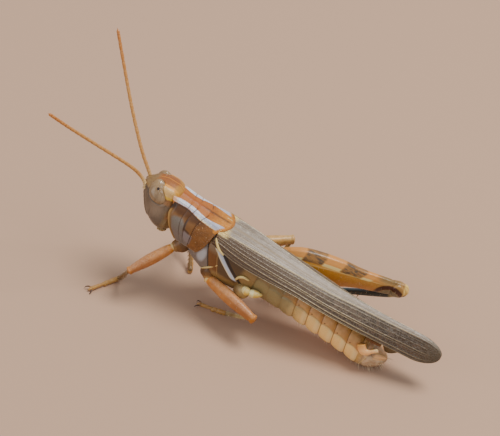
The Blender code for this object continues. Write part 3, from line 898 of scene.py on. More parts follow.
def thorax_relief(w, a, h):
    flank = step(1.2, 1.8, abs(w))
    relief = 0.0
    for seam in (FRONT_SEAM, MIDDLE_SEAM):
        relief -= seam[2] * hump(seam_distance(seam, a, h), 0.07) * step(-1.9, -1.5, h)
    streak = seam_distance(STREAK, a, h)
    relief += 0.07 * hump(streak, 0.17) * step(-1.0, -0.6, h)
    relief -= 0.09 * hump(streak - 0.36, 0.09) * step(-1.2, -0.8, h)
    plate = seam_distance(FRONT_SEAM, a, h) + 0.65
    relief += 0.08 * hump(plate, 0.40) * hump(h + 0.35, 0.9)
    relief += 0.05 * hump(seam_distance(FRONT_SEAM, a, h) - 0.48, 0.28) * hump(h + 0.2, 1.0)
    relief -= 0.07 * hump(h + 1.95, 0.09) * step(7.2, 7.8, a)
    breast = step(1.5, 1.1, abs(w)) * step(-1.8, -2.2, h)
    for cross in (8.9, 11.2):
        relief -= 0.07 * hump(a - cross - 0.25 * abs(w), 0.08) * breast
    return relief * (flank + breast - flank * breast)


def thorax_point(k, x, y, a, middle, half):
    out = 1 + thorax_relief(x, a, middle + y) / hypot(x, y)
    return x * out, y * out


def body_rings(stations, count, sides, power, moved):
    """Ovals across the body axis, with each point moved out or in from where the oval has it.

    moved gives a point's new x and y from its number, its x and y, and where the oval is.
    """
    rings = []
    for a, top, bottom, half_width in smooth(stations, count):
        middle = (top + bottom) / 2
        half = (top - bottom) / 2
        ring = []
        for k, (x, y) in enumerate(oval(half_width, half, half, sides, power)):
            x, y = moved(k, x, y, a, middle, half)
            ring.append((x, a, middle + y))
        rings.append(ring)
    return rings


def thorax_paint():
    look = Look("thorax_chitin", roughness=0.38, coat=0.2)
    _, a, h = look.split(look.where)
    cloud = look.noise(1.4, 4)
    grain = look.noise(8, 4)

    front = seam_distance(FRONT_SEAM, a, h)
    middle = seam_distance(MIDDLE_SEAM, a, h)
    streak = seam_distance(STREAK, a, h)
    olive = look.blend(grain, (118, 94, 60), (158, 130, 90))
    grey = look.blend(cloud, (98, 88, 80), (140, 130, 124))
    # Painted sheen: a soft pale patch on the grey plate stands in for the light's highlight on it.
    from_painted_sheen = ((a - 8.1) / 0.42) ** 2 + ((h + 0.1) / 0.85) ** 2
    grey = look.blend(step(1.7, 0.2, from_painted_sheen + (cloud - 0.5) * 1.2), grey, (178, 177, 179))
    brown = look.blend(grain, (98, 60, 32), (124, 82, 46))
    brown = look.blend(step(0.6, 1.3, h) * 0.7, brown, (150, 128, 100))
    dark = band(streak, 0.40, 0.14, 0.05) * step(-1.1, -0.7, h)
    pale = band(streak, 0.0, STREAK_HALF_WIDTH, 0.04) * step(-0.75, -0.5, h)
    white = look.blend(band(streak, -0.15, 0.06, 0.05), (206, 210, 220), (236, 226, 196))
    colour = look.layers(
        look.blend(step(0.02, 0.06, front), grey, brown),
        (step(0.05, 0.12, middle), (82, 62, 42)),
        (step(-0.7, -1.3, h + (cloud - 0.5) * 0.4) * step(0.1, 0.4, front), olive),
        (step(12.0, 12.6, a), olive),
        (step(-1.75, -2.0, h), look.blend(cloud, (168, 138, 92), (132, 104, 66))),
        (dark, (34, 24, 20)),
        (pale, white),
        (band(front, 0.0, 0.05, 0.04) * step(-1.7, -1.4, h), (36, 24, 18)),
        (band(middle, -0.02, 0.03, 0.04) * step(-1.5, -1.2, h) * 0.35, (206, 182, 130)),
    )
    return look.finish(colour, grain, 0.03, 0.30 + grain * 0.25)


rings = body_rings(THORAX_STATIONS, 190, 150, 2.5, thorax_point)
Shape().loft(rings).piece("thorax_plates", thorax_paint(), "side_plates", "thorax")


# --- Wing hinges -------------------------------------------------------------------------------
# Pale rods of hard chitin at the roots of the wings, and the arched rim over each hind hip. They
# lie against the side plates of the thorax, swell in the middle and end in round tips.

# Each rod is (path, how thick it is).
HINGE_RODS = [
    ([(1.98, 8.48, 2.42), (2.24, 8.80, 2.10), (2.42, 9.30, 1.72), (2.42, 9.90, 1.42)], 0.12),
    ([(1.35, 8.75, 2.72), (1.62, 9.15, 2.60), (1.70, 9.80, 2.52)], 0.13),
    ([(2.18, 8.76, -1.60), (2.30, 9.20, -1.05), (2.32, 9.60, -0.55), (2.28, 9.98, -0.05)], 0.11),
    ([(2.33, 12.05, -0.52), (2.44, 12.20, 0.05), (2.42, 12.60, 0.35), (2.28, 13.20, 0.25)], 0.14),
]


def hinge_paint():
    look = Look("hinge_chitin", roughness=0.42, coat=0.2)
    colour = look.blend(look.noise(4, 3), (236, 214, 160), (204, 176, 116))
    return look.finish(colour, look.noise(12, 2), 0.01)


hinge_shape = Shape()
for side in (1, -1):
    for path, thick in HINGE_RODS:
        hinge_shape.loft(tube(
            mirrored(path, side), lambda share: thick * sin(pi * mix(0.08, 0.92, share)) ** 0.5, 24, 14))
hinge_shape.piece("wing_hinges", hinge_paint(), "belly")


# --- Wing covers -------------------------------------------------------------------------------
# Two long, narrow, leathery fore wings. Each folds over the back along a ridge: a flat field on
# top and a side field that hangs down over the abdomen, stiffened by raised veins.

WING_START = 8.4
WING_END = 32.3
TIP_START = 0.90            # share of a wing's length where its rounded tip begins
TIP_HEIGHT = 2.62
WING_THICKNESS = 0.22

# Each station is (ridge w, ridge h, lower edge w, lower edge h).
WING_STATIONS = [
    (1.35, 2.95, 2.36, 1.75),
    (1.28, 2.95, 2.40, 1.32),
    (1.02, 2.86, 2.34, 1.35),
    (0.76, 2.76, 2.20, 1.48),
    (0.56, 2.76, 2.02, 1.36),
    (0.40, 3.00, 1.72, 1.25),
    (0.30, 3.22, 1.35, 1.22),
    (0.26, 3.52, 0.98, 1.22),
    (0.24, 3.66, 0.72, 1.30),
]
# Long veins of the side field: (how far down it at the root, at mid length and at the tip, height,
# how pale it is).
VEINS = [
    (0.12, 0.19, 0.16, 0.025, 0.30),
    (0.25, 0.37, 0.34, 0.030, 0.35),
    (0.40, 0.55, 0.56, 0.055, 0.90),
    (0.50, 0.63, 0.65, 0.030, 0.60),
    (0.66, 0.80, 0.84, 0.065, 1.00),
    (0.82, 0.91, 0.93, 0.030, 0.45),
]


def wing_profile(t, side):
    """The wing's outer line at a share t of its length, from its inner edge down to its lower one.

    The left wing lies over the right one along the middle.
    """
    depth = 1.0
    ridge_w, ridge_h, edge_w, edge_h = curve(WING_STATIONS, t)
    if t > TIP_START:
        depth = max(1 - ((t - TIP_START) / (1 - TIP_START)) ** 2, 0.0) ** 0.5
        ridge_h = mix(TIP_HEIGHT, ridge_h, depth)
        edge_h = mix(TIP_HEIGHT, edge_h, depth)
        ridge_w *= mix(0.35, 1.0, depth)
        edge_w *= mix(0.35, 1.0, depth)
    inner_w = -0.45 * ridge_w * side
    crown = ridge_h + (0.07 + 0.06 * side) * depth
    return [(inner_w, crown), (ridge_w * 0.55, crown - 0.03), (ridge_w, ridge_h),
            (mix(ridge_w, edge_w, 0.45), mix(ridge_h, edge_h, 0.25)),
            (mix(ridge_w, edge_w, 0.80), mix(ridge_h, edge_h, 0.60)), (edge_w, edge_h)]


def vein_at(vein, t):
    """How far down the side field a vein runs, at a share t of the wing's length."""
    return vein[0] * (1 - t) * (1 - t * 2) + vein[1] * 4 * t * (1 - t) + vein[2] * t * (t * 2 - 1)


def wing_relief(t, across):
    """How far the veins stand out. across is -1 to 0 on the flat field and 0 to 1 on the side one."""
    fade = 1 - step(0.90, 1.0, t)
    relief = 0.06 * hump(across, 0.05) + 0.05 * hump(across - 0.98, 0.03)
    for vein in VEINS:
        relief += vein[3] * hump(across - vein_at(vein, t), 0.020)
    relief += 0.03 * hump(across + 0.45, 0.04) + 0.03 * hump(across + 0.72 - 0.2 * t, 0.04)
    relief += 0.03 * hump(across + 0.93, 0.04)
    return relief * fade


def wing_rings(side, count, flat_points, side_points):
    rings = []
    marks = []
    for j in range(count):
        t = j / (count - 1)
        if t > TIP_START:
            t = mix(TIP_START, 1.0, sin((t - TIP_START) / (1 - TIP_START) * pi / 2))
        a = mix(WING_START, WING_END, t)
        corners = wing_profile(t, side)
        line = smooth(corners[:3], flat_points)[:-1] + smooth(corners[2:], side_points)
        across = [k / (flat_points - 1) - 1 for k in range(flat_points - 1)]
        across += [k / (side_points - 1) for k in range(side_points)]
        thick = WING_THICKNESS * mix(1.0, 0.35, t) * max(1 - step(0.985, 1.0, t), 0.05)
        outer = []
        inner = []
        last = len(line) - 1
        for k, (w, h) in enumerate(line):
            before = line[max(k - 1, 0)]
            after = line[min(k + 1, last)]
            run = hypot(after[0] - before[0], after[1] - before[1]) or 1.0
            out_w = -(after[1] - before[1]) / run
            out_h = (after[0] - before[0]) / run
            lift = wing_relief(t, across[k])
            outer.append((side * (w + out_w * lift), a, h + out_h * lift))
            deep = thick * min(1.0, 0.35 + 6 * (1 - across[k]), 0.3 + 3 * (1 + across[k]))
            inner.append((side * (w - out_w * deep), a, h - out_h * deep))
        rings.append(outer + inner[::-1])
        marks.append([(t, x, 1.0) for x in across] + [(t, x, 0.0) for x in reversed(across)])
    return rings, marks


def wing_paint():
    look = Look("wing_membrane", roughness=0.46, coat=0.12)
    t, across, outside = look.split(look.marks())
    net = (84.0, 10.0, 0.0)      # about how many cells lie along the wing and across a field
    grid = look.node("ShaderNodeMapping", {}, {"Vector": look.marks(), "Scale": net})
    walls = look.cells(grid, 1.0)
    shade = look.node("ShaderNodeTexVoronoi", {}, {"Vector": grid, "Scale": 1.0}, 1)
    grain = look.noise(7, 3)
    cloud = look.noise(0.7, 3)
    flat = step(0.0, -0.04, across)

    mottled = step(0.60, 0.52, shade + (cloud - 0.5) * 0.8) * step(0.25, 0.55, t)
    membrane = look.layers(
        look.blend(grain, (106, 90, 76), (82, 68, 57)),
        (step(0.30, 0.0, t) * step(0.55, 0.35, cloud), (84, 54, 32)),
        (mottled * 0.6, (60, 51, 41)),
    )
    network = look.blend(step(0.45, 0.75, t), (128, 110, 90), (126, 120, 112))
    lines = step(0.10, 0.04, walls) * step(0.97, 0.88, across)
    side = look.blend(lines * step(0.15, 0.65, t) * 0.40 + lines * 0.12, membrane, network)
    veins = [band(across, vein_at(vein, t), 0.014, 0.008) * vein[4] for vein in VEINS]
    vein = look.highest(band(across, 0.985, 0.025, 0.012), *veins) * step(1.0, 0.92, t)
    cream = look.blend(step(0.0, 0.35, t), (192, 166, 128), (206, 188, 152))
    cream = look.blend(step(0.55, 0.85, t), cream, (150, 136, 112))
    side = look.blend(vein * (0.40 + 0.45 * step(0.10, 0.50, t)), side, cream)

    streaks = look.noise(7, 2, (1.0, 0.05, 1.0))
    ribs = look.highest(band(across, -0.45, 0.05, 0.03), band(across, t * 0.2 - 0.72, 0.05, 0.03))
    # The flat top field is painted pale: partly its own lighter tone and partly a painted highlight of the
    # light along the back.
    top = look.layers(
        look.blend(grain, (178, 165, 155), (208, 196, 186)),
        (step(0.35, 0.65, cloud) * 0.35, (150, 136, 120)),
        (step(0.42, 0.04, t) * 0.75, (138, 126, 115)),
        (step(0.50, 0.62, streaks) * step(0.7, 0.1, t) * 0.6, (104, 86, 70)),
        (lines * 0.5, (190, 182, 168)),
        (mottled * 0.3, (124, 110, 92)),
        (ribs * 0.6, (150, 130, 106)),
    )
    ridge = band(across, 0.015, 0.05, 0.03) * step(0.95, 0.80, t)
    root = step(0.062, 0.030, t + grain * 0.01 + abs(across) * 0.02) * step(0.35, 0.15, across)
    end = step(0.88, 1.0, t)
    colour = look.layers(
        look.blend(flat, side, top),
        (ridge * 0.9, (236, 220, 188)),
        (root, (232, 206, 146)),
        (end * 0.7, (92, 82, 66)),
        (1 - outside, (92, 78, 60)),
    )
    return look.finish(colour, step(0.0, 0.12, walls) * -1.0 + grain * 0.2, 0.03, 0.36 + grain * 0.25)


wing_look = wing_paint()
for side, hand in SIDES:
    rings, marks = wing_rings(side, 420, 26, 80)
    Shape().loft(rings, marks).piece("wing_cover_" + hand, wing_look, "wing", "tegmen_" + hand)


# --- Hind wings --------------------------------------------------------------------------------
# The thin hind wings lie pleated like a fan below the covers. Only the edges of the lowest pleats
# show, just behind the tip of the body.

# Each station is (distance along, top, bottom, half width).
HIND_WING_STATIONS = [
    (14.6, 2.10, 1.95, 0.50),
    (18.0, 2.02, 1.66, 0.58),
    (21.5, 2.00, 1.36, 0.50),
    (25.0, 1.86, 0.72, 0.30),
    (26.3, 1.75, 0.50, 0.26),
    (27.0, 1.66, 0.24, 0.24),
    (27.6, 1.55, -0.36, 0.22),
    (28.2, 1.35, -0.20, 0.18),
    (28.8, 1.05, 0.45, 0.10),
]


def pleat_point(k, x, y, a, middle, half):
    pleat = 1 + 0.10 * sin(k * pi / 2)
    return x * pleat, y * pleat


def hind_wing_paint():
    look = Look("hind_wing_membrane", roughness=0.35, coat=0.2)
    colour = look.blend(look.noise(3, 3, (1.0, 0.2, 1.0)), (122, 104, 76), (84, 68, 48))
    return look.finish(colour, look.noise(10, 2, (1.0, 0.1, 1.0)), 0.02)


rings = body_rings(HIND_WING_STATIONS, 90, 64, 2.2, pleat_point)
Shape().loft(rings).piece("hind_wing_fan", hind_wing_paint(), "wing", "hind_wings")


# --- Abdomen -----------------------------------------------------------------------------------
# Eight rings telescoped into each other. On each side the back plates fold under to meet a row of
# soft rounded cushions, and the skin dips into a dark line between one ring and the next.

SEGMENT_COUNT = 8
ABDOMEN_START = 13.75
ABDOMEN_END = 25.6
# How full one ring is from its front edge to its rear one, as shares of the radius.
RING_PROFILE = [(size,) for size in (0.915, 0.952, 0.972, 0.985, 0.994, 1.0, 1.0, 0.998, 0.985,
                                     0.955, 0.915)]
RING_LEAN = 0.16            # how much further back a ring's edge is, for each millimetre down
FOLD_HEIGHT = 0.34          # where the cushions start, as a share of the radius over the middle


def abdomen_section(a):
    """(height of the middle, radius) of the abdomen at a distance along the body."""
    t = max((a - ABDOMEN_START) / (ABDOMEN_END - ABDOMEN_START), 0.0)
    return -0.12 - 1.30 * t ** 1.6, 2.10 - 0.46 * t


def abdomen_rings(count, sides):
    rings = []
    marks = []
    length = (ABDOMEN_END - ABDOMEN_START) / SEGMENT_COUNT
    for j in range(count):
        a = mix(ABDOMEN_START - 0.35, ABDOMEN_END, j / (count - 1))
        middle, radius = abdomen_section(a)
        ring = []
        named = []
        for x, y in oval(radius, radius, radius, sides, 2.15):
            rise = y / radius
            along = (a + y * RING_LEAN - ABDOMEN_START) / length
            within = along % 1.0
            grown = step(0.5, 3.2, along)
            out = mix(0.985, curve(RING_PROFILE, within)[0], grown)
            arch = FOLD_HEIGHT + 0.16 * sin(pi * within) ** 0.6 - 0.10
            below = step(-0.05, 0.05, arch - rise)
            cushion = 0.06 * sin(pi * within) ** 0.6 * hump(rise - arch + 0.55, 0.60)
            out += below * cushion * grown
            out -= 0.035 * hump(rise - arch, 0.05) * step(0.5, 2.0, along)
            out -= 0.03 * hump(rise + 0.72, 0.05)
            ring.append((x * out, a, middle + y * out))
            named.append((along, rise, arch))
        rings.append(ring)
        marks.append(named)
    return rings, marks


def abdomen_paint():
    look = Look("abdomen_cuticle", roughness=0.42, coat=0.12, subsurface=0.12)
    along, rise, arch = look.split(look.marks())
    within = look.maths("FRACT", along + SEGMENT_COUNT)
    grown = step(2.0, 3.4, along)
    cloud = look.noise(1.2, 4)
    grain = look.noise(9, 3)
    front = look.blend(grain, (136, 120, 86), (160, 142, 104))
    rear = look.blend(grain, (236, 192, 130), (252, 216, 156))
    cushion = look.layers(
        look.blend(step(2.2, 4.4, along + (cloud - 0.5)), front, rear),
        (step(0.50, 0.80, within) * step(2.0, 4.0, along) * 0.6, (250, 226, 176)),
        (step(-0.45, -0.80, rise) * 0.5, (184, 152, 104)),
    )
    back = look.layers(
        look.blend(step(2.0, 3.8, along), (138, 120, 86), (206, 160, 112)),
        (step(0.6, 0.9, within) * grown * 0.5, (188, 140, 76)),
        (step(0.45, 0.62, cloud) * 0.3, (160, 108, 66)),
    )
    seam = look.highest(step(0.06, 0.0, within), step(0.95, 1.0, within)) * (grown * 0.75 + 0.25)
    fold = band(rise - arch, 0.0, 0.03, 0.03) * grown
    spot_a = (within - 0.22) / 0.055
    spot_h = (rise - arch - 0.07) / 0.035
    spot = step(1.2, 0.7, spot_a ** 2 + spot_h ** 2)
    colour = look.layers(
        look.blend(step(-0.06, 0.06, arch - rise), back, cushion),
        (seam * 0.75, (112, 72, 36)),
        (fold * 0.4, (150, 100, 58)),
        (spot * grown * 0.8, (70, 44, 28)),
    )
    return look.finish(colour, grain + look.noise(4, 2, (0.3, 1.0, 1.0)) * 0.6, 0.02, 0.34 + grain * 0.2)


rings, marks = abdomen_rings(360, 120)
Shape().loft(rings, marks).piece("abdomen_skin", abdomen_paint(), "belly", "abdomen_front",
                                 "abdomen_rear")


# --- Tip of the abdomen ------------------------------------------------------------------------
# A male's tip is a rounded, upturned cup below, a small three-cornered plate above, and between
# them two boot-shaped cerci. The cup narrows to a pale point.

# Each station is (distance along, top, bottom, half width).
CUP_STATIONS = [
    (25.50, 0.06, -3.00, 1.54),
    (25.63, 0.10, -3.05, 1.56),
    (26.25, -0.10, -3.06, 1.50),
    (26.95, -0.35, -2.86, 1.30),
    (27.60, -0.62, -2.42, 0.94),
    (28.02, -0.86, -1.92, 0.50),
    (28.22, -1.10, -1.52, 0.14),
]
ROOF_STATIONS = [
    (25.45, 0.45, 0.05, 0.66),
    (25.90, 0.47, 0.02, 0.68),
    (26.50, 0.36, -0.10, 0.50),
    (27.00, 0.12, -0.20, 0.22),
]
POINT_PATH = [(0.66, 26.70, -0.98), (0.56, 27.40, -0.84), (0.42, 28.15, -0.70)]
CERCUS_PATH = [(1.50, 25.30, 0.10), (1.62, 25.72, -0.34), (1.62, 26.14, -0.30), (1.52, 26.55, 0.02),
               (1.36, 26.98, 0.40)]


def cup_point(k, x, y, a, middle, half):
    """Two folds run round the cup, and its top is hollow."""
    out = 1 - 0.03 * hump(a - 26.15 + 0.22 * y, 0.07) - 0.02 * hump(a - 26.9 + 0.2 * y, 0.08)
    hollow = 0.20 * step(0.5, 0.9, y / half) * step(26.0, 26.6, a) * half
    return x * out, y * out - hollow


def cup_paint():
    look = Look("cup_cuticle", roughness=0.45, coat=0.1, subsurface=0.12)
    _, a, h = look.split(look.where)
    cloud = look.noise(2.2, 4)
    grain = look.noise(9, 3)
    point = step(26.85, 27.1, a) * step(-1.20, -1.02, h)
    colour = look.layers(
        look.blend(step(0.35, 0.65, cloud), (178, 150, 122), (212, 188, 158)),
        # Painted shade: the cup is darker towards its bottom, on the side that faces the floor.
        (step(-1.6, -2.6, h) * 0.5, (140, 120, 92)),
        (step(26.2, 25.7, a) * 0.7, (190, 150, 84)),
        (point, (240, 196, 150)),
        (step(28.1, 28.5, a) * 0.8, (246, 222, 180)),
        (band(a - h * 0.2, 26.55, 0.04, 0.05) * 0.7, (226, 200, 140)),
    )
    return look.finish(colour, grain + cloud, 0.03, 0.38 + grain * 0.2)


cup_shape = Shape()
cup_shape.loft(body_rings(CUP_STATIONS, 110, 90, 2.1, cup_point))
cup_shape.loft(tube(POINT_PATH, lambda share: 0.50 * (1.03 - share) ** 0.75, 40, 30))
cup_shape.piece("abdomen_cup", cup_paint(), "belly", "subgenital_plate")


def roof_paint():
    look = Look("roof_plate_cuticle", roughness=0.4, coat=0.15)
    grain = look.noise(6, 4)
    return look.finish(look.blend(grain, (112, 72, 46), (150, 104, 66)), grain, 0.03)


def roof_point(k, x, y, a, middle, half):
    """A shallow furrow along the middle of the top."""
    return x, y * (1 - 0.25 * hump(x, 0.12) * (y > 0))


rings = body_rings(ROOF_STATIONS, 40, 40, 2.3, roof_point)
Shape().loft(rings).piece("roof_plate", roof_paint(), "belly", "supra_anal_plate")


def cercus_radius(share):
    """Broad at the root like a boot's top, slim towards the toe, with a round end."""
    round_off = 1 if share < 0.95 else (1 - ((share - 0.95) / 0.055) ** 2) ** 0.5
    return mix(0.46, 0.22, step(0.30, 0.75, share)) * round_off


def cercus_paint():
    look = Look("cercus_cuticle", roughness=0.36, coat=0.25, subsurface=0.2)
    share = look.split(look.marks())[0]
    colour = look.layers(
        look.blend(look.noise(4, 3), (240, 178, 124), (252, 208, 158)),
        (step(0.72, 0.97, share), (246, 214, 168)),
        (step(0.25, 0.0, share) * 0.6, (198, 150, 84)),
    )
    return look.finish(colour, look.noise(10, 2), 0.01)


cercus_look = cercus_paint()
for side, hand in SIDES:
    rings = tube(mirrored(CERCUS_PATH, side), cercus_radius, 48, 24, 0.72)
    Shape().loft(rings).piece("boot_cercus_" + hand, cercus_look, "belly", "cercus_" + hand)


# --- Walking legs ------------------------------------------------------------------------------
# Four legs, each with a broad hip, a small joint, a slim thigh, a thinner shin with two rows of
# small spines below, and a foot of three joints on soft pads that ends in two claws.

FOOT_HEIGHT = 0.27          # height of a foot's middle line over the floor


def floor_under(a):
    """Height of the floor, measured square to the body axis, at the distance a along it."""
    return (a * sin(PITCH) - AXIS_HEIGHT) / cos(PITCH)


def on_floor(w, a):
    """A place at the height of a foot's middle line."""
    return (w, a, floor_under(a) + FOOT_HEIGHT / cos(PITCH))


# Each leg is (root, hip, knee, heel on the floor, toe on the floor).
WALKING_LEGS = {
    "fore_left": ((1.35, 6.15, -0.85), (2.00, 5.45, -1.42), (4.40, 3.10, -4.70),
                  on_floor(2.22, 2.55), on_floor(5.10, 0.80)),
    "fore_right": ((-1.35, 6.15, -0.85), (-1.95, 5.80, -1.45), (-5.50, 5.70, -4.50),
                   on_floor(-2.30, 8.00), on_floor(-5.10, 7.20)),
    "mid_left": ((1.55, 9.40, -1.90), (2.10, 9.80, -2.38), (4.10, 15.40, -2.00),
                 on_floor(1.25, 13.0), on_floor(1.45, 10.40)),
    "mid_right": ((-1.55, 9.30, -1.60), (-2.45, 9.75, -1.75), (-6.25, 14.70, -0.15),
                  on_floor(-6.00, 14.40), on_floor(-7.50, 16.30)),
}


def through(stations):
    """A size that runs smoothly through (share, size) stations."""
    def slope(k):
        before = stations[max(k - 1, 0)]
        after = stations[min(k + 1, len(stations) - 1)]
        return (after[1] - before[1]) / (after[0] - before[0])

    def size(share):
        for k in range(len(stations) - 1):
            start, low = stations[k]
            end, high = stations[k + 1]
            if share <= end:
                span = end - start
                t = max((share - start) / span, 0.0)
                swing = slope(k) * (1 - t) - slope(k + 1) * t
                return mix(low, high, t * t * (3 - 2 * t)) + span * t * (1 - t) * swing
        return stations[-1][1]

    return size


def between(start, end, shares):
    return [tuple(mix(p, q, share) for p, q in zip(start, end)) for share in shares]


def bearings(start, end):
    """Unit vectors along a limb and level across it."""
    ahead = (Vector(end) - Vector(start)).normalized()
    return ahead, ahead.cross(UP).normalized()


def add_spike(shape, path, thick, taper, rings, sides):
    """A horny spike. Its first mark runs from 2 to 3, by which its paint tells it from the limb."""
    shape.loft(tube(path, lambda share: thick * (1.03 - share) ** taper, rings, sides),
               [[(2.0 + k / (rings - 1), 0.0, 0.0)] * sides for k in range(rings)])


def add_spine_rows(shape, start, end, first, count, reach, spread, lean):
    """Two rows of spines below a shin, from the share first of its length to its end."""
    ahead, across = bearings(start, end)
    down = across.cross(ahead) * -1
    for side in (1, -1):
        for k in range(count):
            share = mix(first, 0.97, (k + 0.25 * side) / count)
            root = Vector(start).lerp(Vector(end), share) + across * side * spread + down * spread
            out = (across * side * 0.55 + down * 0.75 + ahead * lean).normalized()
            shape.loft(tube([root, root + out * reach * 0.35, root + out * reach],
                            lambda share: reach * 0.17 * (1.02 - share) ** 0.8, 5, 6))


def add_foot(shape, heel, toe):
    """Three joints with pads below, and a pair of curved claws round a soft cushion."""
    heel = Vector(heel)
    toe = Vector(toe)
    ahead, across = bearings(heel, toe)
    size = through([(0.0, 0.18), (0.06, 0.22), (0.30, 0.23), (0.385, 0.17), (0.42, 0.21), (0.53, 0.21),
                    (0.575, 0.14), (0.62, 0.145), (0.90, 0.19), (0.97, 0.19), (1.0, 0.05)])
    shape.loft(tube(between(heel, toe, (0, 0.3, 0.6, 0.96)), size, 70, 18))
    for share, reach in ((0.07, 0.20), (0.19, 0.20), (0.31, 0.22), (0.49, 0.24)):
        pad = heel.lerp(toe, share) - UP * 0.10
        run = ahead * reach
        shape.loft(tube([pad - run, pad, pad + run],
                        lambda share: 0.24 * max(1 - (share * 2 - 1) ** 2, 0.02) ** 0.5, 11, 14))
    end = heel.lerp(toe, 0.95)
    shape.loft(tube([end, end + ahead * 0.22, end + ahead * 0.40 - UP * 0.12],
                    lambda share: 0.14 * max(1 - share ** 2, 0.02) ** 0.5, 9, 12))
    for side in (1, -1):
        out = across * side
        claw = [end + out * 0.08, end + out * 0.26 + ahead * 0.20 + UP * 0.10,
                end + out * 0.40 + ahead * 0.42, end + out * 0.42 + ahead * 0.50 - UP * 0.20]
        add_spike(shape, claw, 0.085, 0.6, 14, 10)


def chitin_paint(name, bands, dark, speckle, roughness=0.36):
    """Coloured chitin, in bands along a limb: (share where a band ends, its colour, softness)."""
    look = Look(name, roughness=roughness, coat=0.2, subsurface=0.08)
    share, _, up = look.split(look.marks())
    grain = look.noise(8, 4)
    cloud = look.noise(1.6, 4)
    colour = look.blend(0.0, bands[0][1], bands[0][1])
    for (end, _, soft), (_, shade, _) in zip(bands, bands[1:]):
        edge = share + (cloud - 0.5) * soft
        colour = look.blend(step(end - soft, end + soft, edge), colour, shade)
    colour = look.layers(
        colour,
        (step(0.35, 0.70, cloud) * 0.55, dark),
        (step(0.2, 0.9, up) * step(0.30, 0.70, grain) * 0.35, speckle),
    )
    return look.finish(colour, grain + look.noise(3, 3), 0.02, roughness + grain * 0.2)


def foot_paint():
    look = Look("foot_chitin", roughness=0.4, coat=0.15, subsurface=0.15)
    share, _, up = look.split(look.marks())
    grain = look.noise(6, 4)
    claws = step(2.0, 2.5, share)
    colour = look.layers(
        look.blend(grain, (192, 150, 98), (158, 118, 74)),
        (step(-0.2, -0.8, up) * 0.5, (214, 178, 122)),
        (claws, (52, 30, 20)),
    )
    return look.finish(colour, grain, 0.02)


hip_look = chitin_paint(
    "hip_chitin",
    [(0.55, (98, 68, 40), 0.08), (0.80, (116, 80, 46), 0.05), (1.0, (160, 120, 76), 0.02)],
    (76, 50, 30), (138, 104, 68))
far_thigh_look = chitin_paint(
    "far_thigh_chitin",
    [(0.10, (190, 150, 96), 0.03), (0.85, (196, 152, 96), 0.2), (1.0, (208, 170, 118), 0.05)],
    (150, 108, 62), (226, 198, 150))
thigh_look = chitin_paint(
    "thigh_chitin",
    [(0.030, (172, 104, 58), 0.01), (0.080, (230, 206, 148), 0.012), (0.16, (214, 146, 80), 0.03),
     (0.55, (198, 138, 88), 0.20), (0.90, (168, 112, 72), 0.06), (1.0, (178, 116, 58), 0.02)],
    (152, 98, 58), (224, 188, 158))
shin_looks = {
    "fore": chitin_paint("fore_shin_chitin", [(0.10, (150, 104, 58), 0.02), (1.0, (124, 94, 58), 0.1)],
                         (88, 64, 40), (158, 128, 88)),
    "mid": chitin_paint(
        "mid_shin_chitin",
        [(0.06, (188, 128, 66), 0.02), (0.55, (196, 180, 134), 0.12), (1.0, (150, 128, 94), 0.1)],
        (122, 94, 58), (222, 208, 160)),
}
foot_look = foot_paint()

hip_size = through([(0.0, 0.66), (0.25, 0.84), (0.55, 0.78), (0.80, 0.58), (0.93, 0.48), (1.0, 0.30)])
thigh_size = through([(0.0, 0.30), (0.025, 0.42), (0.06, 0.46), (0.085, 0.42), (0.12, 0.49),
                      (0.25, 0.57), (0.48, 0.63), (0.68, 0.59), (0.83, 0.48), (0.91, 0.42),
                      (0.965, 0.45), (1.0, 0.16)])
shin_size = through([(0.0, 0.15), (0.04, 0.25), (0.09, 0.22), (0.14, 0.20), (0.5, 0.20), (0.85, 0.20),
                     (0.95, 0.25), (1.0, 0.12)])
THIGH_SWELL = {"fore_left": 1.0, "fore_right": 1.0, "mid_left": 1.08, "mid_right": 1.12}

for name, (root, hip, knee, heel, toe) in WALKING_LEGS.items():
    rings = tube(between(root, hip, (-0.35, 0.2, 0.6, 1.05)), hip_size, 60, 40, 0.9, 2.2)
    Shape().loft(rings).piece("hip_" + name, hip_look, "leg", "coxa_" + name)
    rings = tube(between(hip, knee, (-0.04, 0.3, 0.65, 1.04)),
                 lambda share: THIGH_SWELL[name] * thigh_size(share), 150, 44, 0.80, 2.3)
    look = far_thigh_look if name == "mid_right" else thigh_look
    Shape().loft(rings).piece("thigh_" + name, look, "leg", "femur_" + name)
    ankle = Vector(knee).lerp(Vector(heel), 0.985)
    shin_shape = Shape()
    shin_shape.loft(tube(between(knee, ankle, (0.0, 0.4, 0.7, 1.0)), shin_size, 90, 28, 0.9, 2.3))
    add_spine_rows(shin_shape, knee, ankle, 0.38, 7, 0.30, 0.12, 0.8)
    shin_shape.piece("shin_" + name, shin_looks[name.split("_")[0]], "leg", "tibia_" + name)
    foot_shape = Shape()
    add_foot(foot_shape, heel, toe)
    foot_shape.piece("foot_" + name, foot_look, "feeler", "tarsus_" + name)


# --- Hind legs ---------------------------------------------------------------------------------
# The jumping leg: a long deep thigh with a fishbone pattern on its outer face, a lobed knee, a
# thin shin with two rows of dark-tipped spines, and a foot. The left one has been shed at the hip.

HIND_HIP = (-3.00, 13.95, -0.30)
HIND_KNEE = (-6.62, 26.30, 1.38)
HIND_JOINT = (-6.62, 26.20, 0.76)    # where the shin hangs, low in the knee
HIND_HEEL = on_floor(-5.00, 15.90)
HIND_TOE = on_floor(-5.90, 19.20)
HIP_PATH = [(1.75, 12.70, -1.55), (2.30, 13.15, -1.32), (2.70, 13.75, -1.04)]
# Each station of the hind thigh is (share of its length, half of its depth).
HIND_THIGH = [(-0.005, 0.40), (0.03, 1.00), (0.08, 1.38), (0.20, 1.82), (0.34, 1.82), (0.50, 1.58),
              (0.66, 1.13), (0.80, 0.96), (0.88, 0.88), (0.94, 0.88), (0.985, 0.80), (1.02, 0.56),
              (1.035, 0.20)]
FISHBONES = 24              # bars of the pattern along its length


